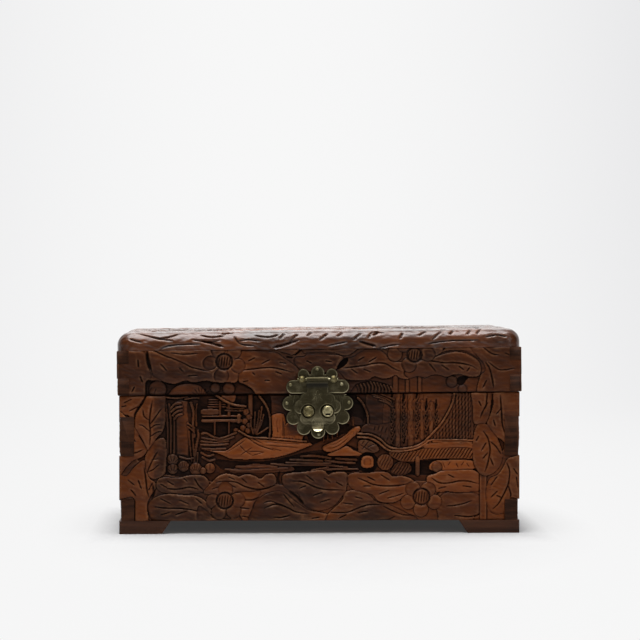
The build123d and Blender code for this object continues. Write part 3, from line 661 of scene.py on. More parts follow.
    def water(self) -> None:
        """A dark hollow under the hill, and long ripples."""
        r = self.r
        r.area("-76,55 -66,54 -52,53.4 -38,54 -24,56.8 -10,60.4 6,62 10,58 28,56 28,46 -60,46"
               " -76,50.6", -3.0, 0.2, 0.1)
        r.area("-66,47 -50,51.5 -34,50.4 -22,50 -22,46 -60,45", -1.7, 0.2, 0.3)
        r.bar("-70,47.6 -56,46.6 -40,47.6 -24,48.4/-62,49.5 -46,49.6 -32,49.4/-36,51.6 -24,50.6"
              " -10,50.8 6,50.4 20,48.6/-25,52.4 -10,52.2 8,51.9/-22,54.6 -10,54.2 2,53.7/-14,57"
              " -4,57.4 8,55.6/2,47 14,47.6 28,47.4/4,54 14,52.6 26,52/-6,46.6 -2,47.4 6,48.8"
              "/12,55.4 20,54.8 27,54.4", 1.5, -1.4, 0.35, 0.35)

    def arch(self) -> None:
        """A hillside with a dark arch, a second boat under it and a split boulder."""
        r = self.r
        r.area("-8,68 4,70 16,73 24,79 26,104 -12,104", -3.0, 0.2, 0.1)
        r.area("20,78 29,79 33,84 34.5,90 33,94.5 28,100.5 20,104", -3.0, 0.3, 0.1)
        r.area("22,79.6 22,85 26,86.4 31,84.5 31.4,80", -1.9, 0.4, 0.25, crown=0.5)
        r.bar("20,82.6 23,80.8 26,79.2/3,68.5 2.6,75/6,69.4 5.8,76/9.4,70.4 9,77/13,72 12.6,78",
              1.1, -1.7)
        r.bar("28,100.4 31,97.4 34,92 35.4,87 35.5,81 34,76.5", 1.4, -0.3)
        r.area("30,74.5 32,79.4 37,81.4 42,80.4 47,81.2 53,80.4 53,65.5 50,66 46,69.5 40,73"
               " 34,74.4", -1.2, 0.8, 0.3, crown=0.5)
        r.groove("41,79.4 40,76/44,79.8 43,76/47,79.6 45.4,75.4/50,79 48,74/45.5,73.4 44.6,71"
                 "/50.6,71.6 49.4,68", 1.2, 0.7)
        r.area("3,65 10,68 18,72 24,77.6 28.6,79.4 30,77 27,73.6 22,69 16,63.8 10,61 5,60.6"
               " 2,62.4", -0.4, 1.1, 0.95, crown=0.7)
        r.groove("6,65 12,66.8 19,71.4 25,76.4/5,63.2 11,64 17,67.4 22,72", 1.1, 0.7)
        r.area("6,58.8 14,62 20,64.6 25,61.6 32.4,58.4 28,57.4 9,57.4", -0.4, 1.3, 0.9, crown=0.6)
        r.groove("20,65.6 26,62.6 32.6,59", 1.5, 1.2)
        r.area("28.6,61 29,68.4 34,69.2 38,68 42,65.4 44,62 41,60 34,59", -0.5, 0.9, 0.55,
               crown=0.6)
        r.groove("36.5,68.6 31,61.8/29.6,66 35,62.6 40,60.4/35.5,63.6 38,65.2 41,66/33,68.6 31,66",
                 1.2, 0.8)

    def cypresses(self) -> None:
        """Slim dark cypresses with raised fishbone twigs, between rounded pale columns."""
        r = self.r
        r.area("54,63.5 62,63.6 70,65.4 78,69.6 85,75.4 85,80 78,76 70,71 62,69 54,68", -1.7, 0.3,
               0.3)
        for x, low, high, width in ((58, 64.5, 105, 3.6), (67.4, 66, 105, 4.2),
                                    (75.9, 70.5, 98, 2.4), (82.7, 74, 96, 3.4)):
            r.bar(f"{x},{low} {x},{high}", width, -0.9, 0.5, 0.4)
        for x, low, high in ((53.6, 64, 104), (62.2, 66, 104), (72, 69, 104), (79.2, 73, 98),
                             (86.4, 78, 98)):
            r.area(f"{x},{low} {x + 1.9},{low + 8} {x + 1.8},{high - 14} {x},{high + 2}"
                   f" {x - 1.8},{high - 14} {x - 1.9},{low + 8}", -2.7, 0.3, 0.1, crown=0.4,
                   edge=1.5)
            for z in np.arange(low + 2, high - 6, 4.3):
                r.bar(f"{x},{z} {x - 1.3},{z + 2.4} {x - 1.9},{z + 6.4}"
                      f"/{x},{z + 2} {x + 1.1},{z + 4.8} {x + 2.1},{z + 7.9}", 1.1, -1.4, 0.3, 0.2)
        r.hatch("54,66 70,68 85,77 85,99 54,106", 88, 3.3, 0.45, 0.4, 1.1)
        r.bar("38,103.4 46,101.2 52,98.4 54.5,94/40,101.6 47,99.4 53,95.6/43,104 50,101.6 55,99"
              "/44,98.6 50,96.8 54,93.4", 1.1, -1.2)

    def roof(self) -> None:
        """The swept roof: tiled slope, double ridge line and thatch fringe."""
        r = self.r
        r.area("80,69 86,75.5 92,82 97,92 100,106 113.5,106 113.5,69", -0.9, 0.9, 0.4, crown=0.2)
        tiles = "83,69.8 90,77 95,84 99,94 102,106 113,106 113,69.8"
        r.hatch(tiles, 90, 2.4, 1.0, 0.5, 0.15)
        r.hatch(tiles, 54, 2.2, 0.7, 0.6, 0.1)
        r.bar("113.2,69 113.4,106", 1.6, -1.2, 0.2)
        r.area("28,71 36,70.5 44,66 52,61.5 62,60.5 72,62 80,64 113.5,63.5 113.5,69 90,69 80,69"
               " 72,64 62,62.5 52,63 44,68 36,72", -0.9, 0.3, 0.8)
        r.bar("28,73.8 36,73.4 41,71.8 46,68.6 50,64.9 55,62.9 62,62.7 70,64.1 76,66.6 80,70.2"
              " 85,75.4 90,81 93.6,86.6 96.5,92 99,98 100.4,106", 1.4, -0.25)
        r.bar("28,71.2 36,70.7 42,68.2 47,64.1 52,61.1 60,60.8 70,62.3 78,66.2 81,68.6 90,69.3"
              " 113,68.8", 1.3, -0.25)
        r.bar("84,67.8 98,67.6 113,67.2", 1.0, -0.45)
        r.area("80,62.6 82,66.6 113.5,66.4 113.5,62.4", -0.6, 0.5, 0.8)
        fringe = ("52,60.2 62,59.8 72,61.2 80,62.8 113.3,62.6 113.3,55.4 96,55.2 80,55 68,53"
                  " 60,53.6 53,57")
        r.area(fringe, -0.5, 1.3, 0.7, crown=0.4)
        r.hatch(fringe, 57, 2.1, 1.2, 0.72, 0.12)

    def shore(self) -> None:
        """Under the eaves: a lamp, a barrel, a post, a stone wall and rocks."""
        r = self.r
        r.area("57,44 57,53 68,51.5 80,54 113,54.5 113,44", -3.1, 0.2, 0.1)
        r.area("83.5,46.4 83.5,52.6 92,54 113,53.6 113,47", -0.8, 0.8, 0.85, crown=0.3)
        r.groove("91,53 93,48/97,53 95,50/101,52 103,48/107,53 105,50/109,52 111,49", 1.2, 0.7)
        r.bar("72.6,44 72.6,55.5", 3.0, -0.6)
        r.pebble(87, 49, 3.8, 0, -0.5)
        mound = "53,45 58,52.5 66,51.5 68,46.5 62,43"
        r.area(mound, -1.3, 0.8, 0.4, crown=0.6)
        r.hatch(mound, 62, 2.0, 0.9)
        r.raise_area(r.circle(35.5, 52.4, 7.8), -3.1, 0.2, 0.1)
        r.area("31,49.5 30.8,54 32.6,57 38.2,57 39.8,54 39.4,49.6 35.4,48.4", -0.25, 0.5, 1.0,
               crown=0.4, edge=1.0)
        r.area("32.6,51 32.4,54 33.8,55.6 37,55.6 38.2,54 37.8,51 35.4,50.2", -0.8, 0.2, 1.0)
        r.pebble(48.5, 52.6, 5.9, 0, -0.4)
        r.hatch("44,49 44,57 49,58.6 53.5,56 53,49 48.5,47", 68, 2.0, 0.8)


class Faces:
    """Makes the carved face of each board of the box."""

    BLOCKS = (25.1, 57.6, 86.6)

    @staticmethod
    def body_frame(r: Relief) -> None:
        """Leaves and blossoms all round the window."""
        r.foliage(LEFT_COLUMN, 0.52)
        r.foliage(LOWER_BAND)
        r.bar("121.5,44 121.4,30 121.5,8", 5.0, -1.1, -0.5)
        r.foliage(RIGHT_COLUMN, 0.6)
        r.groove("-124,37 -123,31 -124.5,26/-12.5,22 -17,27 -23,31.5", 3.0, 1.5)
        r.groove("-30,46 -31,41 -30,36/86,27 89,31", 2.5, 1.2)
        r.blossom(*LEFT_BLOSSOM)
        r.blossom(*RIGHT_BLOSSOM)

    def front(self) -> Relief:
        """The front panel as a whole."""
        r = Relief((-150.5, 7.5), (150.5, 107.0), 0.44, -1.2)
        Scenery(r).carve()
        self.body_frame(r)
        lock_x, lock_y = SIZES.lock_x, SIZES.seam_height - SIZES.flower_drop
        for x, y in SIZES.ring():
            r.raise_area(r.circle(lock_x + x, lock_y + y, 4.7), -0.05, 0.0)
        r.raise_area(r.circle(lock_x, lock_y, 20.3), -0.05, 0.0)
        for x in (-137.5, 137.5):
            r.groove(f"{x},7 {x},{self.BLOCKS[0]}/{x},{self.BLOCKS[1]} {x},{self.BLOCKS[2]}", 0.9,
                     0.5)
        r.stain((-124, 0.3), (-114, -0.22), (-60, -0.2), (-35, 0.04), (40, 0.0), (80, 0.12))
        r.worn_border((-148.5, 9.6), (148.5, 103.4), 0.0096)
        r.groove("-150,101.9 0,103.3 150,104.75/0,103.4 150,104.85", 1.6, 1.0)
        return r.finished()

    def lid_front(self) -> Relief:
        """The front rail of the lid."""
        r = Relief((-152.0, 100.0), (152.0, 141.0), 0.42, -1.1)
        self.lid_scene(r)
        r.ledges = 0.65
        r.foliage(LID_LEAVES, 0.58)
        r.groove("-127.8,135 -127.2,128 -125,121", 3.2, 2.2)
        r.groove("-13,141 -15,136 -18.5,132/-25,131 -20,130.3/95,141 91,135.5", 2.4, 1.6)
        r.area("12.5,122 15,127.5 20,130.5 20.5,127 16.5,123", -3.2, 0.2)
        r.blossom(*LID_LEFT_BLOSSOM)
        r.blossom(*LID_RIGHT_BLOSSOM)
        r.stain((-100, 0.0), (-80, -0.22), (60, -0.22), (150, -0.15))
        r.worn_border((-150, 103.85), (150, 136.7), 0.0096)
        r.groove("-150,102.3 0,103.9 150,105.3", 1.3, 0.8)
        return r.finished()

    @staticmethod
    def lid_scene(r: Relief) -> None:
        """The window's upper strip, which runs on into the lid."""
        r.area("-131,100 -131,113 -110,113 -60,113.5 -44,100", -2.7, 0.2)
        r.pebble(-120, 107, 6.4, 0, -1.3)
        r.groove("-127,104 -124,109/-123,103 -121,108", 1.2, 0.6)
        r.area("-111,100 -109,107 -103,110.5 -94,111 -88,109 -84,104 -82,100", -1.4, 0.9,
               crown=0.8)
        r.fan(-88, 101, (2, 8), (40, 150), 6, 1.3, 0.8)
        r.pebble(-77.5, 108, 3.6, 0, -1.5)
        r.pebble(-67.5, 107.5, 4.4, 0, -1.4)
        r.area("20,100 20,114 120,118 120,100", -1.7, 0.2)
        r.area("24,100 25,108 30,111.5 38,112.8 46,111.4 52,108.5 54,104 54,100", -1.5, 0.8, 0.3,
               crown=0.6)
        for x in np.arange(27.5, 53, 2.5):
            y = 112.5 - abs(x - 38) * 0.25
            r.bar(f"{x},{y} {x + 1.6},{y - 3.4} {x + 1.2},{y - 7.6}", 1.2, -1.2)
        r.bar("56,100 56,117", 3.6, -1.2, 0.4)
        r.bar("64.8,100 64.8,113/74,100 74,117", 2.6, -1.3, 0.4)
        r.pebble(98, 112.5, 4.2, 0, -1.0)
        r.pebble(106, 107, 3.4, 0, -1.2)
        r.area("103,116 102,111 106,110 109,114 112,117", -3.3, 0.2)

    def side(self) -> Relief:
        """A side panel: the front's two ends brought together round a narrower window."""
        r = Relief((-83.0, 7.5), (83.0, 107.5), 0.6, -1.2)
        left, right = Placement(dx=67.5), Placement(dx=-67.5)
        r.place = left
        r.area("-116,44 -40,44 -40,110 -116,110", -2.3, 0.0)
        scenery = Scenery(r)
        r.area("-106,52 -97,52 -97,110 -106,110", -1.7, 0.5)
        scenery.trees()
        r.place = right
        r.area("54,62 113,62 113,110 54,110", -1.2, 0.5)
        scenery.cypresses()
        scenery.roof()
        scenery.shore()
        r.place = left
        r.foliage((*LEFT_COLUMN, *LOWER_BAND[:2]))
        r.place = right
        r.foliage((LOWER_BAND[6], *LOWER_BAND[8:]))
        r.bar("121.5,44 121.4,30 121.5,8", 5.0, -1.1, -0.5)
        r.foliage(RIGHT_COLUMN)
        r.blossom(*RIGHT_BLOSSOM)
        r.worn_border((-81, 9.6), (81, 103.4))
        return r.finished()

    def lid_side(self) -> Relief:
        """A side rail of the lid, measured up from the seam's middle at 103.6."""
        r = Relief((-85.0, 100.0), (85.0, 141.0), 0.55, -1.1)
        r.area("-60,100 60,100 60,114 -60,114", -2.4, 0.2)
        for x in np.arange(-44, 50, 9.5):
            r.pebble(float(x), 106.5, 4.6, 3, -0.8)
        r.place = Placement(dx=69)
        r.foliage(LID_LEAVES[:2])
        r.place = Placement(dx=-69)
        r.foliage((*LID_LEAVES[8:10], LID_LEAVES[7]))
        r.place = Placement(dx=71.5)
        r.blossom(*LID_LEFT_BLOSSOM)
        r.worn_border((-81.75, 103.85), (81.75, 136.8))
        return r.finished()

    def back(self) -> Relief:
        """The back panel: the frame of leaves round a plain planed field."""
        r = Relief((-150.5, 7.5), (150.5, 107.0), 0.8, -1.6)
        r.place = Placement(mirror=True)
        r.area("-116,44 113.5,44 113.5,110 -116,110", -1.2, 0.4)
        r.hatch("-114,46 112,46 112,104 -114,104", 0, 5.2, 0.16, 0.9, 0.5)
        self.body_frame(r)
        r.worn_border((-148.5, 9.6), (148.5, 103.4), -0.0096)
        return r.finished()

    def lid_back(self) -> Relief:
        """The back rail of the lid."""
        r = Relief((-152.0, 100.0), (152.0, 141.0), 0.8, -1.5)
        r.place = Placement(mirror=True)
        r.area("-150,100 150,100 150,120 -150,120", -1.3, 0.0)
        r.foliage(LID_LEAVES)
        r.blossom(*LID_LEFT_BLOSSOM)
        r.blossom(*LID_RIGHT_BLOSSOM)
        r.worn_border((-150, 103.85), (150, 136.8), -0.0096)
        return r.finished()


# ---- Shader toolkit ----


def operator(operation: str, swapped: bool = False, clamp: bool = False) -> Callable:
    """Make a method that joins two shader values through one Math node.

    Args:
        operation: What the node does.
        swapped: Whether the other value comes first.
        clamp: Whether the result is kept between 0 and 1.

    Returns:
        The method.
    """
    def joined(self: Socket, other: Any = 0.0) -> Socket:
        """Add the node."""
        pair = (other, self) if swapped else (self, other)
        return self.graph.node("ShaderNodeMath", dict(enumerate(pair)), operation=operation,
                               use_clamp=clamp)
    return joined


@dataclass(eq=False)
class Socket:
    """A shader value that takes part in arithmetic; each operator adds its Math node."""

    graph: Graph
    link: NodeSocket
    __add__ = __radd__ = operator("ADD")
    __mul__ = __rmul__ = operator("MULTIPLY")
    __sub__, __rsub__ = operator("SUBTRACT"), operator("SUBTRACT", swapped=True)
    __pow__, __abs__, larger = operator("POWER"), operator("ABSOLUTE"), operator("MAXIMUM")
    clamped = operator("ADD", clamp=True)


class Graph:
    """A node tree that is built one node at a time."""

    def __init__(self, tree: NodeTree) -> None:
        """Start from an empty tree."""
        tree.nodes.clear()
        self.tree = tree

    def node(self, kind: str, inputs: dict[Any, Any] | None = None, output: Any = 0,
             **settings: Any) -> Socket:
        """Add a node.

        Args:
            kind: The node's type.
            inputs: Values or sockets by the input's name or number.
            output: Name or number of the output that is returned.
            settings: Its properties, set first.

        Returns:
            The output.
        """
        made = self.tree.nodes.new(kind)
        for name, value in settings.items():
            setattr(made, name, value)
        for key, value in (inputs or {}).items():
            if isinstance(value, Socket):
                self.tree.links.new(value.link, made.inputs[key])
            else:
                made.inputs[key].default_value = value
        return Socket(self, made.outputs[output] if made.outputs else None)

    def join(self, *shapes: Socket) -> Socket:
        """Join geometry."""
        made = self.tree.nodes.new("GeometryNodeJoinGeometry")
        for shape in shapes:
            self.tree.links.new(shape.link, made.inputs[0])
        return Socket(self, made.outputs[0])

    def mix(self, factor: Any, a: Any, b: Any) -> Socket:
        """Mix two colours."""
        return self.node("ShaderNodeMix", {0: factor, 6: a, 7: b}, 2, data_type="RGBA")

    def place(self) -> Socket:
        """Object coordinates."""
        return self.node("ShaderNodeTexCoord", output="Object")

    def noise(self, scale: float | Sequence[float], detail: float, rough: float,
              turn: float = 0.0) -> Socket:
        """Noise on object coordinates, with one scale or one for each axis."""
        scales = scale if isinstance(scale, tuple) else (scale,) * 3
        laid = self.node("ShaderNodeMapping", {"Vector": self.place(), "Scale": scales,
                                               "Rotation": (0, 0, turn)})
        return self.node("ShaderNodeTexNoise", {"Vector": laid, "Scale": 1.0,
                                                "Detail": detail, "Roughness": rough})

    def bump(self, strength: float, distance: float, height: Socket) -> Socket:
        """Lean the normal by a height."""
        return self.node("ShaderNodeBump", {"Strength": strength, "Distance": distance,
                                            "Height": height})

    def range(self, value: Any, low: float, high: float) -> Socket:
        """Spread a value from low to high over 0 to 1."""
        return self.node("ShaderNodeMapRange",
                         {"Value": value, "From Min": low, "From Max": high}, clamp=True)

    def split(self, vector: Socket) -> list[Socket]:
        """Part a vector into x, y and z."""
        return [self.node("ShaderNodeSeparateXYZ", {0: vector}, k) for k in range(3)]

    def attribute(self, name: str) -> Socket:
        """Read a number kept on the mesh."""
        return self.node("ShaderNodeAttribute", output="Fac", attribute_name=name)

    def surface(self, inputs: dict[str, Any]) -> None:
        """End the tree in a Principled shader."""
        shader = self.node("ShaderNodeBsdfPrincipled", inputs)
        self.node("ShaderNodeOutputMaterial", {"Surface": shader})


def colour(red: int, green: int, blue: int) -> tuple[float, float, float, float]:
    """Turn a display colour of 0 to 255 into the linear one that shaders use."""
    linear = [c / 3294.6 if c <= 10.31 else ((c / 255 + 0.055) / 1.055) ** 2.4
              for c in (red, green, blue)]
    return (*linear, 1.0)


def new_material(name: str) -> tuple[Material, Graph]:
    """Make an empty node material."""
    material = bpy.data.materials.new(name)
    material.use_nodes = True
    return material, Graph(material.node_tree)


class Grain(Enum):
    """Which way the fibres of a board run."""

    ALONG_X = (1.0, 0.0, 0.0)
    ALONG_Y = (0.0, 1.0, 0.0)


@dataclass(frozen=True)
class Wood:
    """Stained and waxed camphor wood.

    Late wood and pores are dark, most of it is middle and redder patches are warm. Forms that
    stand in the light are honey, a painted light. Crests and walls that face up go towards the
    worn_and_lit colour, partly worn by hands and partly painted highlight, as far as
    rub_and_glint says; hollows go towards the cut colour, partly grime and partly painted
    shade, darkest in deep cuts. Gloss and sheen are the wax coat's strength and roughness.
    """

    name: str
    grain: Grain = Grain.ALONG_X
    dark: tuple = (28, 14, 8)
    middle: tuple = (64, 33, 17)
    warm: tuple = (118, 58, 16)
    honey: tuple = (148, 76, 30)
    worn_and_lit: tuple = (180, 126, 86)
    cut: tuple = (11, 6, 4)
    gloss: float = 0.12
    sheen: float = 0.16
    rub_and_glint: float = 0.7

    def stretched(self, along: float, across: float) -> Triple:
        """Scale a pattern along and across the fibres."""
        return tuple(along if a else across for a in self.grain.value)

    def material(self) -> Material:
        """Make the material; carved faces read their hollows and crests from the mesh."""
        made, g = new_material(self.name)
        fibres = g.noise(self.stretched(14, 260), 5, 0.6)
        bands = g.noise(self.stretched(5, 46), 3, 0.5)
        patches = g.noise(22, 3, 0.5)
        pores = g.range(g.noise(self.stretched(90, 1500), 2, 0.5), 0.62, 0.72)
        grime = g.noise(160, 5, 0.65)
        hollow, crest = g.attribute("hollow"), g.attribute("crest")
        streak = g.range(fibres * 0.6 + bands * 0.4, 0.34, 0.66)
        base = g.mix(streak, colour(*self.dark), colour(*self.middle))
        tone = g.attribute("tone")
        warmth = (tone * 0.8 + g.range(patches, 0.38, 0.62) * 0.7 - 0.4).clamped()
        base = g.mix(warmth * (0.4 + streak * 0.6), base, colour(*self.warm))
        # Painted light: forms given a high tone go honey.
        base = g.mix(g.range(tone, 0.72, 1.0) * 0.5, base, colour(*self.honey))
        base = g.mix(pores * 0.5, base, colour(*self.dark))
        # Pale crests and upward walls: partly worn, partly painted highlight.
        rub_and_highlight = (crest * g.range(grime, 0.3, 0.62)).clamped()
        base = g.mix(rub_and_highlight * self.rub_and_glint, base, colour(*self.worn_and_lit))
        # Hollows darken towards the cut colour: partly grime, partly painted shade.
        grime_and_shade = (hollow * (0.72 + grime * 0.7)).clamped()
        base = g.mix(grime_and_shade * 0.93, base, colour(*self.cut))
        rough = 0.46 + grime_and_shade * 0.3 + grime * 0.12 - rub_and_highlight * 0.08
        bump = g.bump(0.35, 0.0004, fibres * 0.5 + grime * 0.35 - pores * 0.5)
        g.surface({"Base Color": base, "Roughness": rough, "Normal": bump,
                   "Coat Weight": (1 - grime_and_shade) * self.gloss, "Coat Roughness": self.sheen,
                   "IOR": 1.4, "Specular IOR Level": 0.12})
        return made


@dataclass(frozen=True)
class EndGrain:
    """Sawn end grain of the finger joints: dark, with pores and growth rings."""

    name: str
    dark: tuple = (30, 17, 11)
    light: tuple = (74, 43, 26)

    def material(self) -> Material:
        """Make the material."""
        made, g = new_material(self.name)
        laid = g.node("ShaderNodeMapping", {"Vector": g.place(), "Scale": (520, 520, 260)})
        pores = g.node("ShaderNodeTexVoronoi", {"Vector": laid, "Scale": 1.6})
        rings = g.noise((40, 40, 330), 4, 0.6, 0.3)
        grime = g.noise(120, 5, 0.6)
        tone = (g.range(rings, 0.36, 0.64) * 0.7 + grime * 0.4).clamped()
        base = g.mix(tone, colour(*self.dark), colour(*self.light))
        hole = g.range(pores, 0.0, 0.25)
        base = g.mix((1 - hole) * 0.6, base, colour(14, 8, 6))
        bump = g.bump(0.4, 0.0004, hole * 0.5 + rings * 0.6)
        g.surface({"Base Color": base, "Roughness": 0.6 + grime * 0.2, "Normal": bump,
                   "Specular IOR Level": 0.1})
        return made


@dataclass(frozen=True)
class Brass:
    """Old brass: brown-green tarnish, pale metal where worn and where highlights are painted."""

    name: str
    tarnish: tuple = (62, 56, 38)
    metal: tuple = (228, 214, 170)
    rubbing: float = 0.12

    def material(self) -> Material:
        """Make the material; pressed plates read their crests from the mesh."""
        made, g = new_material(self.name)
        blotches = g.noise(150, 5, 0.62)
        specks = g.noise(900, 3, 0.6)
        scratches = g.noise((260, 260, 2600), 2, 0.5, 0.5)
        hollow, crest = g.attribute("hollow"), g.attribute("crest")
        # Pale metal: worn blotches and scratches, plus painted highlights and reflections from
        # crest and tone.
        rub_and_glint = (g.range(blotches, 0.5, 0.78) * self.rubbing + crest * 0.9
                + g.range(scratches, 0.6, 0.75) * 0.06
                + g.range(g.attribute("tone"), 0.4, 1.0)).clamped()
        base = g.mix(rub_and_glint, colour(*self.tarnish), colour(*self.metal))
        base = g.mix(g.range(specks, 0.6, 0.72) * 0.35, base, colour(44, 46, 34))
        # Hollows go dark: patina on the plates, painted shade in the knob's nick.
        base = g.mix(hollow * 0.85, base, colour(24, 22, 16))
        bump = g.bump(0.25, 0.0002, specks * 0.5 + scratches * 0.5)
        g.surface({"Base Color": base, "Metallic": 0.94 - hollow * 0.3,
                   "Roughness": 0.44 - rub_and_glint * 0.2 + specks * 0.1, "Normal": bump})
        return made


# ---- Meshes ----


@dataclass(frozen=True)
class BoxSizes:
    """The frame's own sizes that the carving is laid on, in millimetres."""

    seam_height: float = 103.6
    seam_lean: float = 0.55
    shift_y: float = 4.66
    body_half_width: float = 148.5
    body_half_depth: float = 81.0
    overhang: float = 1.5
    rail_top: float = 33.25
    lock_x: float = -1.7
    flower_drop: float = 6.9
    flower_ring: float = 20.9

    def seam(self) -> Matrix:
        """Frame of the leaning seam: the middle of the box, x to the right, z up."""
        return (Matrix.Translation((0, self.shift_y, self.seam_height))
                @ Matrix.Rotation(radians(-self.seam_lean), 4, "Y"))

    def ring(self) -> list[Pair]:
        """Middles of the flower plate's twelve lobes, from its own middle."""
        turns = (radians(30 * k) for k in range(12))
        return [(self.flower_ring * cos(a), self.flower_ring * sin(a)) for a in turns]


SIZES = BoxSizes()


def facing(origin: Sequence[float], out: Sequence[float], seam: bool = False) -> Matrix:
    """Frame of a face: x to the viewer's right, y up, z out of the board.

    Args:
        origin: Where the face's own zero lies, in millimetres.
        out: Direction out of the board.
        seam: Whether both are given in the seam's leaning frame.

    Returns:
        A matrix from the face's millimetres to metres.
    """
    axes = Matrix(((-out[1], out[0], 0), (0, 0, 1), out)).transposed().to_4x4()
    face = Matrix.Translation(origin) @ axes
    if seam:
        face = SIZES.seam() @ face
    return Matrix.Scale(MM, 4) @ face


def moved(matrix: Matrix, p: Array) -> Array:
    """Move points by a matrix."""
    m = np.array(matrix)
    return p @ m[:3, :3].T + m[:3, 3]


def coordinates(mesh: Mesh) -> Array:
    """All vertices of a mesh as rows."""
    co = np.zeros(len(mesh.vertices) * 3, np.float32)
    mesh.vertices.foreach_get("co", co)
    return co.reshape(-1, 3).astype(float)


def store(mesh: Mesh, name: str, values: Array) -> None:
    """Keep one number for each vertex."""
    layer = mesh.attributes.new(name, "FLOAT", "POINT")
    layer.data.foreach_set("value", values.astype(np.float32))


def mesh_from(name: str, vertices: Array, faces: Iterable[Sequence[int]]) -> Mesh:
    """Make a mesh from arrays."""
    mesh = bpy.data.meshes.new(name)
    mesh.from_pydata(vertices.tolist(), [], [list(map(int, f)) for f in faces])
    mesh.update()
    return mesh


def added(name: str, data: bpy.types.ID) -> Object:
    """Put a mesh, a lamp or a camera in the scene as an object at the origin."""
    obj = bpy.data.objects.new(name, data)
    bpy.context.scene.collection.objects.link(obj)
    return obj


def baked(obj: Object) -> Mesh:
    """Turn an object and its modifiers into a plain mesh; the object is spent."""
    graph = bpy.context.evaluated_depsgraph_get()
    mesh = bpy.data.meshes.new_from_object(obj.evaluated_get(graph))
    bpy.data.objects.remove(obj)
    return mesh


def shaded(mesh: Mesh, angle: float, flat: Array | None = None) -> None:
    """Shade smoothly, with sharp edges kept and the sawn or planed faces left flat."""
    smooth_faces = np.ones(len(mesh.polygons), bool) if flat is None else ~flat
    mesh.polygons.foreach_set("use_smooth", smooth_faces)
    mesh.set_sharp_from_angle(angle=radians(angle))


def grid_faces(rows: int, columns: int) -> Array:
    """Quads of a grid of points whose rows run along x and climb along y."""
    i = np.arange(rows * columns).reshape(rows, columns)
    return np.stack([i[:-1, :-1], i[:-1, 1:], i[1:, 1:], i[1:, :-1]], -1).reshape(-1, 4)


def relief_block(relief: Relief, face: Matrix, depth: float) -> Mesh:
    """A closed block whose front is the carved face.

    Args:
        relief: The carving.
        face: Frame of the face.
        depth: How far back the block reaches.

    Returns:
        The mesh, in metres.
    """
    rows, columns = relief.h.shape
    u, v = np.meshgrid(relief.u, relief.v)
    front = np.stack([u, v, relief.h], -1).reshape(-1, 3)
    i = np.arange(rows * columns).reshape(rows, columns)
    ring = np.concatenate([i[0], i[1:, -1], i[-1, -2::-1], i[-2:0:-1, 0]])
    back = front[ring] * (1, 1, 0) - (0, 0, depth)
    count = len(ring)
    rear = rows * columns + np.arange(count)
    following = np.roll(np.arange(count), -1)
    sides = np.stack([ring[following], ring, rear, rear[following]], -1)
    return mesh_from("relief_block", moved(face, np.vstack([front, back])),
                     [*grid_faces(rows, columns), *sides, rear[::-1]])


def merge(mesh: Mesh, gap: float) -> None:
    """Join the points of a mesh that lie closer than a gap."""
    work = bmesh.new()
    work.from_mesh(mesh)
    bmesh.ops.remove_doubles(work, verts=work.verts, dist=gap)
    work.to_mesh(mesh)
    work.free()


def merged_copy(node: str) -> Object:
    """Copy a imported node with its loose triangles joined."""
    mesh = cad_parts[node].data.copy()
    merge(mesh, 1e-6)
    mesh.materials.clear()
    return added(f"{node}_copy", mesh)


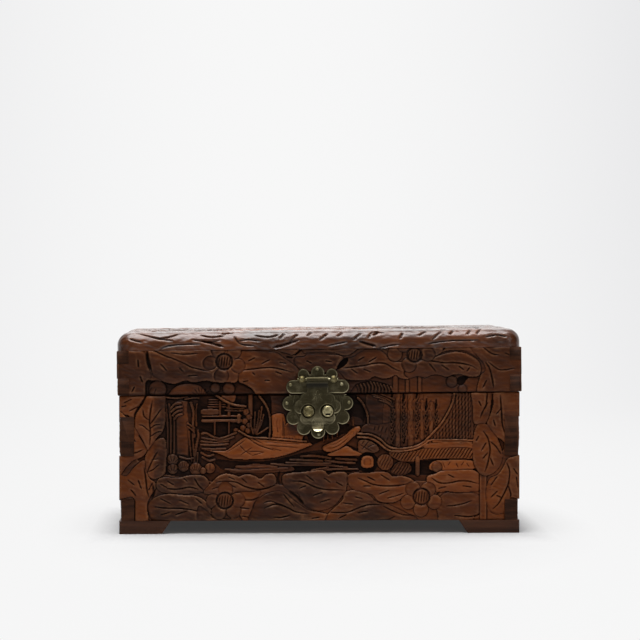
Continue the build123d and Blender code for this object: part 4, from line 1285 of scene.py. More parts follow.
@dataclass
class Carver:
    """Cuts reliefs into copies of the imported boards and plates."""

    made: list[str] = field(default_factory=list)
    MOST_TRIANGLES = 190_000

    def thinned(self, mesh: Mesh) -> Mesh:
        """Join the flattest faces of a mesh where it has too many."""
        triangles = sum(len(p.vertices) - 2 for p in mesh.polygons)
        if triangles <= self.MOST_TRIANGLES:
            return mesh
        work = added("thinned", mesh)
        step = work.modifiers.new("thin", "DECIMATE")
        step.ratio = self.MOST_TRIANGLES / triangles
        return baked(work)

    def carve(self, node: str, name: str, relief: Relief, face: Matrix, body: str, slot: str,
              materials: Sequence[Material], depth: float = 40.0,
              angle: float = 40.0, filled: Sequence[tuple] = ()) -> Object:
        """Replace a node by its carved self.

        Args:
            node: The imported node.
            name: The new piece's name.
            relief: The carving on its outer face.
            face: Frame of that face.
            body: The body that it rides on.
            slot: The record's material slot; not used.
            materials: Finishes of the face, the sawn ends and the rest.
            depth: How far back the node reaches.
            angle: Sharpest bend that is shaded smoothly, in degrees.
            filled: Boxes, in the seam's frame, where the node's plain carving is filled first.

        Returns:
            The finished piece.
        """
        board = merged_copy(node)
        if filled:
            boxes = [closed_box(low, high, SIZES.seam()) for low, high in filled]
            board = added("filled", combined(board, boxes, "UNION"))
        block = added("relief_block", relief_block(relief, face, depth))
        mesh = self.thinned(combined(board, [block], "INTERSECT"))
        mesh.name = name
        flat = self.dress(mesh, relief, face, materials)
        shaded(mesh, angle, flat)
        return self.keep(added(name, mesh), body, slot, node)

    @staticmethod
    def dress(mesh: Mesh, relief: Relief, face: Matrix,
              materials: Sequence[Material]) -> Array | None:
        """Mark hollows and crests, and give each side of the board its finish.

        Args:
            mesh: The cut board or plate.
            relief: Its carving.
            face: Frame of the carved face.
            materials: Finishes of the face, the sawn ends and the rest.

        Returns:
            Which faces aren't carved, for a board; nothing for a plate.
        """
        local = moved(face.inverted(), coordinates(mesh))
        height = relief.sampled(relief.h, local[:, 0], local[:, 1])
        on_face = np.abs(local[:, 2] - height) < 0.2
        for name, grid in zip(SHADES, relief.shades()):
            store(mesh, name, relief.sampled(grid, local[:, 0], local[:, 1]) * on_face)
        mesh.materials.clear()
        for material in materials:
            mesh.materials.append(material)
        if len(materials) < 3:
            return None
        count = len(mesh.polygons)
        normals, centres = np.zeros(count * 3), np.zeros(count * 3)
        mesh.polygons.foreach_get("normal", normals)
        mesh.polygons.foreach_get("center", centres)
        turn = np.array(face.inverted())[:3, :3] * MM
        normals = normals.reshape(-1, 3) @ turn.T
        centres = moved(face.inverted(), centres.reshape(-1, 3))
        height = relief.sampled(relief.h, centres[:, 0], centres[:, 1])
        carved = (np.abs(centres[:, 2] - height) < 0.3) & (normals[:, 2] > 0.02)
        ends = np.abs(normals[:, 0]) > 0.7
        mesh.polygons.foreach_set(
            "material_index", np.where(carved, 0, np.where(ends, 1, 2)).astype(np.int32))
        return ~carved

    def keep(self, piece: Object, body: str, slot: str, node: str) -> Object:
        """Let a piece ride on its body, in place of the node that it stands for."""
        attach(piece, body)
        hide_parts(node)
        self.made.append(piece.name)
        log.info("%s: %d faces on %s", piece.name, len(piece.data.polygons), body)
        return piece


def closed_box(low: Sequence[float], high: Sequence[float], place: Matrix) -> Object:
    """A box between two corners, in the millimetres of a placing frame."""
    corners = np.array([(x, y, z) for z in (low[2], high[2]) for y in (low[1], high[1])
                        for x in (low[0], high[0])])
    faces = ((0, 2, 3, 1), (4, 5, 7, 6), (0, 1, 5, 4), (2, 6, 7, 3), (0, 4, 6, 2), (1, 3, 7, 5))
    return added("box", mesh_from("box", moved(Matrix.Scale(MM, 4) @ place, corners), faces))


def combined(first: Object, others: Sequence[Object], operation: str) -> Mesh:
    """Join, cut or intersect closed meshes; all of them are spent."""
    for other in others:
        step = first.modifiers.new("combine", "BOOLEAN")
        step.operation, step.solver, step.object = operation, "MANIFOLD", other
    mesh = baked(first)
    for other in others:
        bpy.data.objects.remove(other)
    return mesh


def lathed(name: str, profile: Sequence[Pair], place: Matrix) -> Mesh:
    """Turn a profile of (radius, height) round the Z axis of a placing frame.

    Args:
        name: The mesh's name.
        profile: Points from the lower end to the upper end, both on the axis.
        place: Frame in millimetres, to metres.

    Returns:
        A closed mesh.
    """
    steps = 56
    a = np.arange(steps) * 2 * pi / steps
    rings = [(r * np.cos(a), r * np.sin(a), np.full(steps, z)) for r, z in profile[1:-1]]
    vertices = np.stack(rings).transpose(0, 2, 1).reshape(-1, 3)
    i = np.arange(len(vertices)).reshape(-1, steps)
    j = np.roll(i, -1, axis=1)
    sides = np.stack([i[:-1], j[:-1], j[1:], i[1:]], -1).reshape(-1, 4)
    ends = ((0, 0, profile[0][1]), (0, 0, profile[-1][1]))
    low, high = len(vertices), len(vertices) + 1
    caps = [(low, j[0, k], i[0, k]) for k in range(steps)]
    caps += [(high, i[-1, k], j[-1, k]) for k in range(steps)]
    return mesh_from(name, moved(place, np.vstack([vertices, ends])), [*sides, *caps])


def tips(node: str, place: Matrix) -> Array:
    """Middle of the outermost face of each loose solid in a node, in a placing frame."""
    copy = merged_copy(node)
    work = bmesh.new()
    work.from_mesh(copy.data)
    bpy.data.objects.remove(copy)
    left, found = set(work.verts), []
    while left:
        island, edge = set(), [min(left, key=lambda v: v.index)]
        while edge:
            v = edge.pop()
            if v not in island:
                island.add(v)
                edge += [e.other_vert(v) for e in v.link_edges]
        left -= island
        p = moved(place.inverted(), np.array([v.co[:] for v in island]))
        found.append(p[p[:, 2] > p[:, 2].max() - 0.02].mean(0))
    work.free()
    return np.array(sorted(found, key=lambda p: tuple(p.round(3))))


@dataclass(frozen=True)
class Fastener:
    """A nail or a screw that repeats, set on points by Geometry Nodes.

    Attributes:
        radius: Of the head.
        dome: Height of a domed head, or zero for a flat countersunk one.
        length: Of the shank.
        slot: Width of the screwdriver's slot, or zero.
    """

    radius: float
    dome: float
    length: float
    slot: float = 0.0

    def tree(self) -> NodeTree:
        """Make the tree: one fastener, set on every point, made real and given its metal."""
        tree = bpy.data.node_groups.new("fasteners", "GeometryNodeTree")
        rows = (("Points", "Geometry"), ("Radius", "Float"), ("Head", "Float"),
                ("Length", "Float"), ("Slot", "Float"), ("Metal", "Material"))
        for name, kind in rows:
            tree.interface.new_socket(name, in_out="INPUT", socket_type=f"NodeSocket{kind}")
        tree.interface.new_socket("Fasteners", in_out="OUTPUT", socket_type="NodeSocketGeometry")
        g = Graph(tree)
        places, radius, head, length, slot, metal = (
            g.node("NodeGroupInput", output=name) for name, _ in rows)

        def vector(x: Any, y: Any, z: Any) -> Socket:
            """Join three numbers."""
            return g.node("ShaderNodeCombineXYZ", {0: x, 1: y, 2: z})

        def shifted(shape: Socket, by: Socket, size: Any = (1, 1, 1)) -> Socket:
            """Move and scale a shape."""
            return g.node("GeometryNodeTransform",
                         {"Geometry": shape, "Translation": by, "Scale": size})

        if self.dome:
            ball = g.node("GeometryNodeMeshUVSphere",
                         {"Segments": 32, "Rings": 16, "Radius": radius})
            cap = shifted(ball, vector(0, 0, 0), vector(1, 1, head * (1 / self.radius)))
        else:
            plug = g.node("GeometryNodeMeshCone", {
                "Vertices": 32, "Radius Top": radius, "Radius Bottom": radius * 0.5,
                "Depth": head})
            bar = g.node("GeometryNodeMeshCube", {"Size": vector(radius * 3, slot, head)})
            plug = shifted(plug, vector(0, 0, head * -1))
            bar = shifted(bar, vector(0, 0, head * -0.35))
            cap = g.node("GeometryNodeMeshBoolean", {"Mesh 1": plug, "Mesh 2": bar},
                         operation="DIFFERENCE")
        shank = g.node("GeometryNodeMeshCone", {
            "Vertices": 16, "Radius Top": radius * 0.45, "Radius Bottom": radius * 0.1,
            "Depth": length})
        whole = g.join(cap, shifted(shank, vector(0, 0, length * -1 - head * 0.5)))
        made = g.node("GeometryNodeInstanceOnPoints", {"Points": places, "Instance": whole})
        real = g.node("GeometryNodeRealizeInstances", {"Geometry": made})
        dressed = g.node("GeometryNodeSetMaterial", {"Geometry": real, "Material": metal})
        g.node("NodeGroupOutput", {"Fasteners": dressed})
        return tree

    def build(self, node: str, name: str, place: Matrix, metal: Material, body: str,
              carver: Carver) -> None:
        """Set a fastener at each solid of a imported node, and keep the piece in its place.

        Args:
            node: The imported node.
            name: The new piece's name.
            place: Frame of the fasteners, z out of the head.
            metal: Their finish.
            body: The body that they ride on.
            carver: What keeps the piece.
        """
        at = tips(node, place)
        at[:, 2] = 0 if self.dome else at[:, 2]
        work = added("points", mesh_from("points", at, []))
        step = work.modifiers.new("fasteners", "NODES")
        step.node_group = self.tree()
        values = {"Radius": self.radius, "Head": self.dome or 1.1, "Length": self.length,
                  "Slot": self.slot, "Metal": metal}
        for socket in step.node_group.interface.items_tree:
            if socket.in_out == "INPUT" and socket.name in values:
                step[socket.identifier] = values[socket.name]
        mesh = baked(work)
        mesh.transform(place)
        mesh.name = name
        shaded(mesh, 35)
        carver.keep(added(name, mesh), body, "lock_brass", node)


def finish_node(node: str, material: Material) -> None:
    """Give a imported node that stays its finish."""
    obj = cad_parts[node]
    if not obj.material_slots:
        obj.data.materials.append(material)
    for place in obj.material_slots:
        place.link = "OBJECT"
        place.material = material
    log.info("%s: kept, %s", node, material.name)


# ---- Sub-assemblies ----


class Finishes:
    """Every finish of the box."""

    def __init__(self) -> None:
        """Mix the stains and metals: carved faces, inner faces, board, feet, joints, brass."""
        inner = ((58, 30, 16), (124, 72, 40), (140, 80, 42))
        foot = ((38, 22, 14), (80, 48, 32), (92, 54, 32))
        top = ((32, 14, 6), (74, 36, 12), (124, 61, 17))
        along_x, along_y = Grain.ALONG_X, Grain.ALONG_Y
        across = Wood("carved_wood_x").material()
        along = Wood("carved_wood_y", along_y).material()
        self.inside_x = Wood("inner_wood_x", along_x, *inner, gloss=0.15).material()
        inside_y = Wood("inner_wood_y", along_y, *inner, gloss=0.15).material()
        self.board = Wood("board_wood_x", along_x, *top, gloss=1.0, sheen=0.24).material()
        self.foot_x = Wood("foot_wood_x", along_x, *foot).material()
        self.foot_y = Wood("foot_wood_y", along_y, *foot).material()
        ends = EndGrain("end_grain").material()
        self.wide, self.deep = (across, ends, self.inside_x), (along, ends, inside_y)
        self.plate = Brass("plate_brass").material()
        self.bright = Brass("rubbed_brass", (128, 120, 88), (236, 226, 190), 0.8).material()
        self.knob = Brass("turned_brass", (104, 94, 62), (214, 202, 158), 0.5).material()
        self.hinge = Brass("hinge_brass", (92, 82, 54), (190, 168, 110), 0.4).material()


@dataclass
class BoxBody:
    """Four carved walls, the floor board and the bracket feet.

    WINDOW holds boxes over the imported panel's window, clear of the lock's nails and knobs.
    """

    WINDOW = (((-118, -81.5, -60.5), (-28, -77, -0.25)), ((-28, -81.5, -60.5), (25, -77, -31)),
              ((25, -81.5, -60.5), (118, -77, -0.25)))

    finishes: Finishes
    carver: Carver

    def build(self, faces: Faces) -> None:
        """Carve the walls and finish what stays plain."""
        f, w, d, y = self.finishes, SIZES.body_half_width, SIZES.body_half_depth, SIZES.shift_y
        side = faces.side()
        rows = (("front_panel", faces.front(), facing((0, y - d, 0), (0, -1, 0)), f.wide),
                ("back_panel", faces.back(), facing((0, y + d, 0), (0, 1, 0)), f.wide),
                ("left_panel", side, facing((-w, y, 0), (-1, 0, 0)), f.deep),
                ("right_panel", side, facing((w, y, 0), (1, 0, 0)), f.deep))
        for node, relief, face, woods in rows:
            self.carver.carve(node, f"carved_{node}", relief, face, BODY, "carved_wood", woods,
                              filled=self.WINDOW if node == "front_panel" else ())
        finish_node("floor_board", f.inside_x)
        for end in ("front", "back"):
            for hand in ("left", "right"):
                finish_node(f"foot_{end}_{hand}_face", f.foot_x)
                finish_node(f"foot_{end}_{hand}_return", f.foot_y)


@dataclass
class BoxLid:
    """Four carved rails and the thick board with its rolled, carved edge.

    The board's corners are rounded as seen from above, and its edge rolls down to an upright
    wall. The carved grid has cells, and the board's mesh has steps along the edge and rows
    down it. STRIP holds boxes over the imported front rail's two sunk strips.
    """

    STRIP = (((-134, -83, 0.25), (-44, -79, 14)), ((23, -83, 0.25), (122, -79, 14)))

    finishes: Finishes
    carver: Carver
    half_width: float = 150.0
    half_depth: float = 81.75
    corner: float = 11.0
    edge: float = 10.0
    wall: float = 4.0
    cell: float = 0.6
    step: float = 0.95
    row: float = 0.48

    def build(self, faces: Faces) -> None:
        """Carve the rails and the board."""
        f = self.finishes
        y, d, w, over = SIZES.shift_y, SIZES.body_half_depth, self.half_width, SIZES.overhang
        left, right = (facing((x, -over / 2, -SIZES.seam_height), (x / w, 0, 0), True)
                       for x in (-w, w))
        side = faces.lid_side()
        rows = (("front", faces.lid_front(), facing((0, y - d - over, 0), (0, -1, 0)), f.wide),
                ("back", faces.lid_back(), facing((0, y + d, 0), (0, 1, 0)), f.wide),
                ("left", side, left, f.deep), ("right", side, right, f.deep))
        for hand, relief, face, woods in rows:
            node = f"lid_{hand}_rail"
            self.carver.carve(node, f"carved_{node}", relief, face, LID, "carved_wood", woods,
                              filled=self.STRIP if hand == "front" else ())
        self.board()

    @property
    def flat(self) -> Pair:
        """Half the size of the level field inside the corners' centres."""
        return self.half_width - self.corner, self.half_depth - self.corner

    @property
    def reach(self) -> float:
        """Unrolled width of the edge, from the corners' centres to the lower rim."""
        return self.corner - self.edge + self.edge * pi / 2 + self.wall

    def edge_cuts(self, text: str) -> str:
        """Turn cuts drawn on the front view into cuts on the unrolled front edge."""
        def unrolled(pair: str) -> str:
            """Lay one point on the unrolled edge."""
            x, z = (float(n) for n in pair.split(","))
            up = z - SIZES.seam_height - SIZES.rail_top - x * sin(
                radians(SIZES.seam_lean)) - self.wall
            if up > 0:
                bend = acos(min(up / self.edge, 0.999))
                out = self.corner - self.edge + self.edge * bend
            else:
                out = self.reach - self.wall - up
            return f"{x:.2f},{-self.flat[1] - out:.2f}"
        return "/".join(" ".join(map(unrolled, piece.split())) for piece in text.split("/"))

    def relief(self) -> Relief:
        """The board's carving, unrolled flat: a window in leaves, and the nicked edge."""
        x, y = self.flat[0] + self.reach, self.flat[1] + self.reach
        r = Relief((-x - 1, -y - 1), (x + 1, y + 1), self.cell, -0.35)
        r.area("-118,-52 118,-52 118,52 -118,52", -1.6, 0.8, crown=0.2)
        r.place = Placement(0, -76, 1.02)
        Scenery(r).carve()
        for turn, dy in ((0, -76), (180, 76)):
            r.place = Placement(0, dy, 1.02, turn == 180, turn)
            r.foliage(LOWER_BAND)
            for blossom in (LEFT_BLOSSOM, RIGHT_BLOSSOM):
                r.blossom(*blossom)
        r.place = Placement(0, -50)
        r.foliage((*LEFT_COLUMN, *RIGHT_COLUMN))
        r.place = Placement()
        return r

    def board(self) -> None:
        """Build the board: a level carved field inside a ring that rolls over the edge."""
        relief = self.relief()
        relief.groove(self.edge_cuts(EDGE_CUTS), 1.9, 1.3)
        relief.groove(self.edge_cuts(EDGE_NOTCHES), 3.4, 2.0)
        relief.tool_marks()
        relief.finished()
        bx, by = self.flat
        nx, ny = round(2 * bx / self.step), round(2 * by / self.step)
        xs, ys = np.linspace(-bx, bx, nx + 1), np.linspace(-by, by, ny + 1)
        u, v = np.meshgrid(xs, ys)
        h = relief.sampled(relief.h, u, v)
        top = np.stack([u, v, self.wall + self.edge + h], -1).reshape(-1, 3)
        starts, normals = self.columns(xs, ys)
        rows = round(self.reach / self.row)
        out = np.linspace(0, self.reach, rows + 1)
        lip = self.corner - self.edge
        bend = np.clip((out - lip) / self.edge, 0, pi / 2)
        level = np.minimum(out, lip) + self.edge * np.sin(bend)
        down = np.clip(out - lip - self.edge * pi / 2, 0, None)
        height = self.wall + self.edge * np.cos(bend) - down
        flat_at = starts[None] + normals[None] * out[:, None, None]
        h = relief.sampled(relief.h, flat_at[..., 0], flat_at[..., 1])
        plan = starts[None] + normals[None] * (level[:, None, None]
                                               + (h * np.sin(bend)[:, None])[..., None])
        rise = height[:, None] + h * np.cos(bend)[:, None] * np.ones(len(starts))
        rolled = np.concatenate([plan, rise[..., None]], -1)
        count = len(starts)
        ring = np.arange((rows + 1) * count).reshape(rows + 1, count) + len(top)
        following = np.roll(ring, -1, axis=1)
        sides = np.stack([ring[:-1], ring[1:], following[1:], following[:-1]], -1).reshape(-1, 4)
        middle = len(top) + rolled.size // 3
        bottom = [(middle, following[-1, k], ring[-1, k]) for k in range(count)]
        local = np.vstack([top, rolled.reshape(-1, 3), [[0, 0, 0]]])
        flat_places = np.vstack([np.stack([u, v], -1).reshape(-1, 2), flat_at.reshape(-1, 2),
                                 [[0, 0]]])
        place = Matrix.Scale(MM, 4) @ SIZES.seam() @ Matrix.Translation(
            (0, -SIZES.overhang / 2, SIZES.rail_top))
        mesh = mesh_from("carved_lid_board", moved(place, local),
                         [*grid_faces(ny + 1, nx + 1), *sides, *bottom])
        for name, grid in zip(SHADES, relief.shades()):
            shade = relief.sampled(grid, flat_places[:, 0], flat_places[:, 1])
            shade[ring[-1]] = shade[-1] = 0
            store(mesh, name, shade)
        merge(mesh, 2e-6)
        for material in (self.finishes.board, self.finishes.inside_x):
            mesh.materials.append(material)
        under = [p.normal.z < -0.9 for p in mesh.polygons]
        mesh.polygons.foreach_set("material_index", np.array(under, np.int32))
        shaded(mesh, 42)
        self.carver.keep(added("carved_lid_board", mesh), LID, "carved_wood", "lid_board")

    def columns(self, xs: Array, ys: Array) -> tuple[Array, Array]:
        """Set out the columns that roll over the edge, round the board.

        Args:
            xs: Grid lines across the level field.
            ys: Grid lines that run deep.

        Returns:
            The columns' feet and directions.
        """
        bx, by = self.flat
        starts, normals = [], []
        fan = np.linspace(0, pi / 2, 23)[1:-1]
        for k, (line, fixed) in enumerate(((xs, -by), (ys, bx), (xs[::-1], by), (ys[::-1], -bx))):
            a = pi / 2 * (k - 1)
            run = [(t, fixed) if k % 2 == 0 else (fixed, t) for t in line]
            starts += run + [run[-1]] * len(fan)
            normals += [(cos(a), sin(a))] * len(run)
            normals += [(cos(a + b), sin(a + b)) for b in fan]
        return np.array(starts), np.array(normals)


@dataclass
class Lock:
    """The brass lock: two lobed plates, the engraved hasp on its rod, knobs and nails."""

    finishes: Finishes
    carver: Carver
    cell: float = 0.22
    plate: float = 1.0
    hasp_out: float = 4.32
    hasp_play: float = 0.3
    hasp_drop: float = 10.3
    bend_drop: float = 19.5
    bend_radius: float = 6.0
    knob: Triple = (7.1, -12.6, 4.1)
    knob_out: float = 9.32
    bar: Pair = (6.42, 1.5)
    post: Triple = (11.7, 11.0, 2.8)
    rod: Pair = (5.3, 0.9)

    def face(self, out: float, aside: float = 0.0) -> Matrix:
        """Frame on the lock, a given distance out from the body's front."""
        origin = (SIZES.lock_x + aside, -SIZES.body_half_depth - out, 0)
        return facing(origin, (0, -1, 0), True)

    @staticmethod
    def blank(low: Pair, high: Pair) -> Relief:
        """A sheet of brass, whose crests are narrower than wood's."""
        relief = Relief(low, high, Lock.cell, 0)
        # Brass rims: crests are painted highlights, paler towards the lower right as painted
        # reflection.
        relief.fine, relief.wear, relief.ledges, relief.lean = 0.5, 1.5, 0.0, 0.6
        return relief

    @staticmethod
    def lobes(relief: Relief, circles: Sequence[Triple]) -> Array:
        """Distance outside the outline that overlapping circles make; negative inside."""
        u, v = np.meshgrid(relief.u, relief.v)
        return np.minimum.reduce([np.hypot(u - x, v - y) - r for x, y, r in circles])

    @staticmethod
    def rolled(distance: Array, radius: float = 0.45) -> Array:
        """Height lost near the outline where the plate's edge is rounded."""
        inset = np.clip(1 + distance / radius, 0, 1)
        return -radius * (1 - np.sqrt(1 - 0.96 * inset**2)) - 0.03

    def body_relief(self) -> Relief:
        """The flower plate: rounded lobes, each a little dished, and a scribed line."""
        r = self.blank((-28, -35), (28, 2))
        drop = SIZES.flower_drop
        ring = [(x, y - drop) for x, y in SIZES.ring()]
        d = self.lobes(r, [(0, -drop, SIZES.flower_ring), *((x, y, 5.3) for x, y in ring)])
        r.h = self.rolled(d)
        u, v = np.meshgrid(r.u, r.v)
        for x, y in ring:
            r.h -= 0.16 * np.clip(1 - np.hypot(u - x, v - y) / 3.6, 0, 1)
        around = np.hypot(u, v + drop)
        r.h -= 0.1 * np.exp(-(((around - 17.4) / 0.32) ** 2))
        return r.finished()

    def lid_relief(self) -> Relief:
        """The cloud plate, rounded at its rim."""
        r = self.blank((-26, -1), (26, 23))
        circles = [(s * x, y, c) for x, y, c in ((18.3, 5.4, 5.0), (10.5, 14.4, 4.2))
                   for s in (-1, 1)] + [(0, 15.6, 5.0)]
        d = self.lobes(r, circles)
        u, v = np.meshgrid(r.u, r.v)
        base = np.maximum.reduce([np.abs(u) - 18.3, v - 10.4, 0.5 - v])
        tall = np.maximum.reduce([np.abs(u) - 10.5, v - 14.4, 0.5 - v])
        r.h = self.rolled(np.minimum.reduce([d, base, tall]))
        return r.finished()

    def hasp_relief(self) -> Relief:
        """The hasp: a scribed border, rays under the knobs and a sprig on the neck."""
        r = self.blank((-20, -32), (20, 14))
        drop = self.hasp_drop
        pairs = ((12.3, 1.0, 5.3), (8.4, 6.2, 5.0), (8.6, -7.2, 4.7))
        circles = [(s * x, y - drop, c) for x, y, c in pairs for s in (-1, 1)]
        circles += [(0, -drop, 13.0), (0, -12.3 - drop, 4.9)]
        u, v = np.meshgrid(r.u, r.v)
        neck = np.maximum.reduce([np.abs(u) - 8.0, v - 13, -drop - v])
        d = np.minimum(self.lobes(r, circles), neck)
        r.h = self.rolled(d) - 0.4 * np.clip((u**2 + (v + drop) ** 2) / 300, 0, 1)
        # Painted reflection: the hasp is toned lighter towards its bottom.
        r.tone = 0.4 + 0.1 * np.clip((-v - 12) / 8, 0, 1)
        r.tone = np.where(v > 7.6, 0.6, r.tone)
        # The bent tab: a bright crescent is a painted highlight, and the band above it a painted
        # shadow.
        tab = np.clip(-self.bend_drop - v, 0, None) * (np.abs(u) < 4.8)
        r.tone = np.where(tab > 3.0, np.where(tab > 6.2, 0.84, 0.2), r.tone)
        r.h -= 0.08 * np.exp(-(((d + 1.8) / 0.25) ** 2))
        for x in (-self.knob[0], self.knob[0]):
            hole = np.hypot(u - x, v - self.knob[1])
            r.h -= 0.2 * np.clip(1 - (hole - 5.0) / 0.5, 0, 1) ** 2
        r.fan(0, -15, (3.2, 8.0), (-125, -55), 7, 0.7, 0.22)
        r.groove("-4,-5 -1.4,-2.4 0,2.2 1.4,-2.4 4,-5/0,2.2 0,-6/-3,0 -1,-1/3,0 1,-1", 0.7, 0.24)
        r.groove("-13,-13 -15,-10 -14,-6.5/13,-13 15,-10 14,-6.5", 0.7, 0.14)
        r.h = np.clip(r.h, -0.6, -0.02)
        low = np.clip(-self.bend_drop - v, 0, None)
        turned_out = self.bend_radius * sin(pi / 4)
        rise = self.bend_radius - np.sqrt(self.bend_radius**2 - np.minimum(low, turned_out)**2)
        r.h += rise + np.clip(low - turned_out, 0, None)
        r.h = np.where(v > 7.6, 6.0, r.h)
        return r

    def build(self) -> None:
        """Press the plates and the hasp, and finish the turned pieces."""
        f, upper = self.finishes, SIZES.overhang + self.plate
        rows = (("body_lock_plate", "flower_plate", self.body_relief(), self.plate, 0, BODY, 6),
                ("lid_lock_plate", "cloud_plate", self.lid_relief(), upper, 0, LID, 6),
                ("hasp", "engraved_hasp", self.hasp_relief(), self.hasp_out, -self.hasp_play,
                 HASP, 12))
        for node, name, relief, out, aside, body, depth in rows:
            self.carver.carve(node, name, relief, self.face(out, aside), body, "lock_brass",
                              [f.plate], depth, 50)
        for hand, side in (("left", -1), ("right", 1)):
            self.turned_knob(f"lock_knob_{hand}", side)
            self.turned_post(f"rod_post_{hand}", side)
        finish_node("hasp_rod", f.bright)
        nail = Fastener(radius=1.3, dome=0.85, length=8.0)
        for node, out, body in (("body_plate_nails", self.plate, BODY),
                                ("lid_plate_nails", upper, LID)):
            nail.build(node, node.replace("plate", "domed"), self.face(out), f.bright, body,
                       self.carver)

    def turned_knob(self, node: str, side: int) -> None:
        """A lathe-turned knob: a flared foot, a grooved stem, a rimmed head and the cross bore.

        The right one has a short nick under its middle.
        """
        x, y, radius = self.knob
        top = self.knob_out
        rim = [(radius - 1.0 + cos(a), top - 1.0 + sin(a)) for a in np.linspace(0, pi / 2, 9)]
        face = [(radius - 1.35, top - 0.22), (radius - 1.7, top - 0.42), (1.6, top - 0.16),
                (0.8, top - 0.06)]
        profile = [(0, -8), (1.5, -8), (1.5, 1.02), (radius - 0.25, 1.02), (radius, 1.3),
                   (radius, 2.1), (radius - 0.3, 2.4), (radius - 0.3, 2.8), (radius, 3.1),
                   *rim, *face, (0, top - 0.04)]
        nick = ((-1.9, -2.9, top - 1.6), (1.9, -1.4, top + 2)) if side > 0 else None
        self.turned(node, profile, (side * x, y, 0), self.bar, BODY, nick)

    def turned_post(self, node: str, side: int) -> None:
        """A ball on a neck with a small collar, bored for the rod."""
        x, y, radius = self.post
        out = self.rod[0]
        ball = [(radius * sin(a), out - radius * cos(a))
                for a in np.linspace(radians(36), pi, 22)[:-1]]
        foot = SIZES.overhang + self.plate
        profile = [(0, -5), (1.4, -5), (1.4, foot + 0.02), (2.1, foot + 0.02), (2.1, foot + 0.3),
                   (1.7, foot + 0.5), *ball, (0, out + radius)]
        self.turned(node, profile, (side * x, y, 0), self.rod, LID)

    def turned(self, node: str, profile: Sequence[Pair], at: Sequence[float], bore: Pair,
               body: str, nick: tuple[Sequence[float], Sequence[float]] | None = None) -> None:
        """Turn a profile, bore it across, nick it and keep it.

        Args:
            node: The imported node.
            profile: Points of (radius, distance out).
            at: Its place on the lock.
            bore: Distance out and radius of the bore.
            body: The body that it rides on.
            nick: Corners of a box that is cut away.
        """
        place, name = self.face(0) @ Matrix.Translation(at), f"turned_{node}"
        solid = added(name, lathed(name, profile, place))
        out, radius = bore
        across = place @ Matrix.Translation((0, 0, out)) @ Matrix.Rotation(pi / 2, 4, "Y")
        hole = added("bore", lathed("bore", [(0, -12), (radius, -12), (radius, 12), (0, 12)],
                                    across))
        cutters = [hole]
        if nick:
            cutters.append(closed_box(*nick, Matrix.Scale(1 / MM, 4) @ place))
        mesh = combined(solid, cutters, "DIFFERENCE")
        mesh.name = name
        if nick:
            local, (low, high) = moved(place.inverted(), coordinates(mesh)), np.array(nick)
            sunk = ((local > low - 0.1) & (local < high + 0.1)).all(axis=1)
            # Painted shade on the floor of the nick.
            store(mesh, "hollow", (sunk & (local[:, 2] < low[2] + 0.5)).astype(float))
            store(mesh, "tone", np.where(local[:, 2] > high[2] - 2.8, 0.66, 0.4))
        mesh.materials.clear()
        mesh.materials.append(self.finishes.knob)
        shaded(mesh, 35)
        self.carver.keep(added(name, mesh), body, "lock_brass", node)


@dataclass
class Hinges:
    """Two butt hinges let into the bevelled back edges."""

    finishes: Finishes
    carver: Carver

    def build(self) -> None:
        """Finish the leaves, pins and screws."""
        for hand in ("left", "right"):
            for part in ("body_leaf", "lid_leaf", "pin"):
                finish_node(f"hinge_{hand}_{part}", self.finishes.hinge)
        screw = Fastener(radius=1.35, dome=0.0, length=6.0, slot=0.4)
        up = Matrix.Scale(MM, 4) @ SIZES.seam()
        for node, place, body in (
                ("body_leaf_screws", up, BODY),
                ("lid_leaf_screws", up @ Matrix.Rotation(pi, 4, "X"), LID)):
            screw.build(node, node.replace("leaf", "slotted"), place, self.finishes.hinge, body,
                        self.carver)


# ---- Studio ----


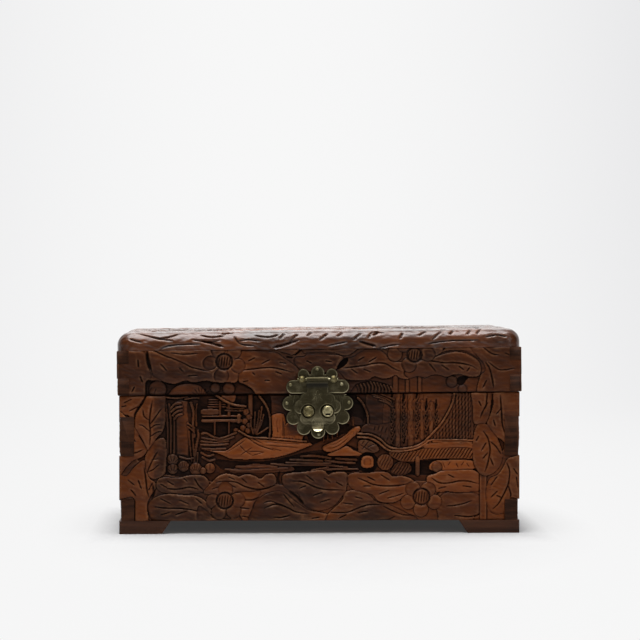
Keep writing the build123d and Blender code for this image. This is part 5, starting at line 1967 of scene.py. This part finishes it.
@dataclass
class Studio:
    """White sweep, soft light and the camera.

    The camera stands at a distance from the box's front and a height over the floor, turned
    and tilted by degrees, with a lens for a 36 mm wide picture.
    """

    distance: float = 1.70
    azimuth: float = -2.0
    height: float = 0.185
    lens: float = 129.2
    tilt: float = 0.9

    def build(self) -> None:
        """Set everything up."""
        self.sweep()
        self.world()
        self.lamps()
        self.camera()
        bpy.context.scene.view_settings.view_transform = "Standard"

    def sweep(self) -> None:
        """A floor that curves up into a wall far behind the box."""
        profile = [(-4.0, 0.0), (1.6, 0.0)]
        profile += [(1.6 + 0.9 * sin(a), 0.9 - 0.9 * cos(a))
                    for a in np.linspace(0, pi / 2, 13)[1:]]
        profile.append((2.5, 4.0))
        across = np.linspace(-4, 4, 3)
        vertices = np.array([(x, y, z) for y, z in profile for x in across])
        mesh = mesh_from("white_sweep", vertices, grid_faces(len(profile), len(across)))
        shaded(mesh, 80)
        made, g = new_material("white_paper")
        fibre = g.noise(60, 3, 0.5)
        base = g.mix(g.range(fibre, 0.3, 0.7), (0.54, 0.54, 0.545, 1), (0.56, 0.56, 0.565, 1))
        paper = g.node("ShaderNodeBsdfDiffuse", {"Color": base})
        x, y, _ = g.split(g.place())
        aside = g.range(x * x, 0.0, 0.5)
        glow = g.node("ShaderNodeEmission", {
            "Color": g.mix(aside, (0.93, 0.93, 0.93, 1), (0.81, 0.81, 0.82, 1))})
        outside = g.range(abs(x), 0.146, 0.172).larger(g.range(abs(y), 0.079, 0.14))
        halo = (x * x * 22 + y * y * 6) ** 0.5
        # The glow fades in away from the box, lightening the edge of its shadow, and a faint glow
        # under the box is painted light in its shade.
        far = (outside * g.range(halo, 0.25, 1.0)).larger(0.04)
        camera, glossy = (g.node("ShaderNodeLightPath", output=f"Is {ray} Ray")
                          for ray in ("Camera", "Glossy"))
        share = (camera + glossy * g.range(y, 0.0, 0.3)).clamped() * far
        shader = g.node("ShaderNodeMixShader", {0: share, 1: paper, 2: glow})
        g.node("ShaderNodeOutputMaterial", {"Surface": shader})
        mesh.materials.append(made)
        added("white_sweep", mesh)

    def world(self) -> None:
        """White light all round, with the dark of the room high on the camera's side."""
        world = bpy.data.worlds.new("studio")
        bpy.context.scene.world = world
        world.use_nodes = True
        g = Graph(world.node_tree)
        x, y, z = g.split(g.node("ShaderNodeTexCoord", output="Generated"))
        room = (1 - g.range(z, 0.7, 0.95)) * g.range(0 - y, -0.55, -0.1)
        white = 0.925 - g.range(x * x, 0.0, 0.1) * 0.1
        tone = g.mix(room, white, (0.035, 0.035, 0.035, 1))
        shader = g.node("ShaderNodeBackground", {"Color": tone, "Strength": 1.0})
        g.node("ShaderNodeOutputWorld", {"Surface": shader})

    @staticmethod
    def lamps() -> None:
        """A light overhead, a softbox and a fill in front and a broad light from behind."""
        rows = (("overhead", (-0.1, -0.12, 1.5), 1.0, 24.0),
                ("softbox", (-0.35, -0.9, 1.3), 0.6, 6.0), ("fill", (0.9, -1.5, 0.7), 0.8, 2.5),
                ("back_light", (0.0, 1.5, 1.3), 1.3, 7.0))
        for name, where, size, power in rows:
            light = bpy.data.lights.new(name, "AREA")
            light.size, light.energy = size, power
            lamp = added(name, light)
            lamp.location, lamp.visible_camera = where, False
            lamp.rotation_euler = (Vector((0, 0, 0.07)) - Vector(where)).to_track_quat(
                "-Z", "Y").to_euler()

    def camera(self) -> None:
        """The camera, low in front and a touch to the left."""
        data = bpy.data.cameras.new("camera")
        data.lens, data.sensor_width, data.clip_end = self.lens, 36.0, 50.0
        camera = added("camera", data)
        front = (SIZES.shift_y - SIZES.body_half_depth) * MM
        a = radians(self.azimuth)
        camera.location = (self.distance * sin(a), front - self.distance * cos(a), self.height)
        camera.rotation_euler = (radians(90 - self.tilt), 0, a)
        bpy.context.scene.camera = camera


def main() -> None:
    """Build the studio and every sub-assembly of the box."""
    logging.basicConfig(level=logging.INFO, format="%(name)s %(message)s")
    Studio().build()
    finishes, carver, faces = Finishes(), Carver(), Faces()
    BoxBody(finishes, carver).build(faces)
    BoxLid(finishes, carver).build(faces)
    Lock(finishes, carver).build()
    Hinges(finishes, carver).build()
    log.info("%d carved or pressed pieces", len(carver.made))


if __name__ == "__main__":
    main()
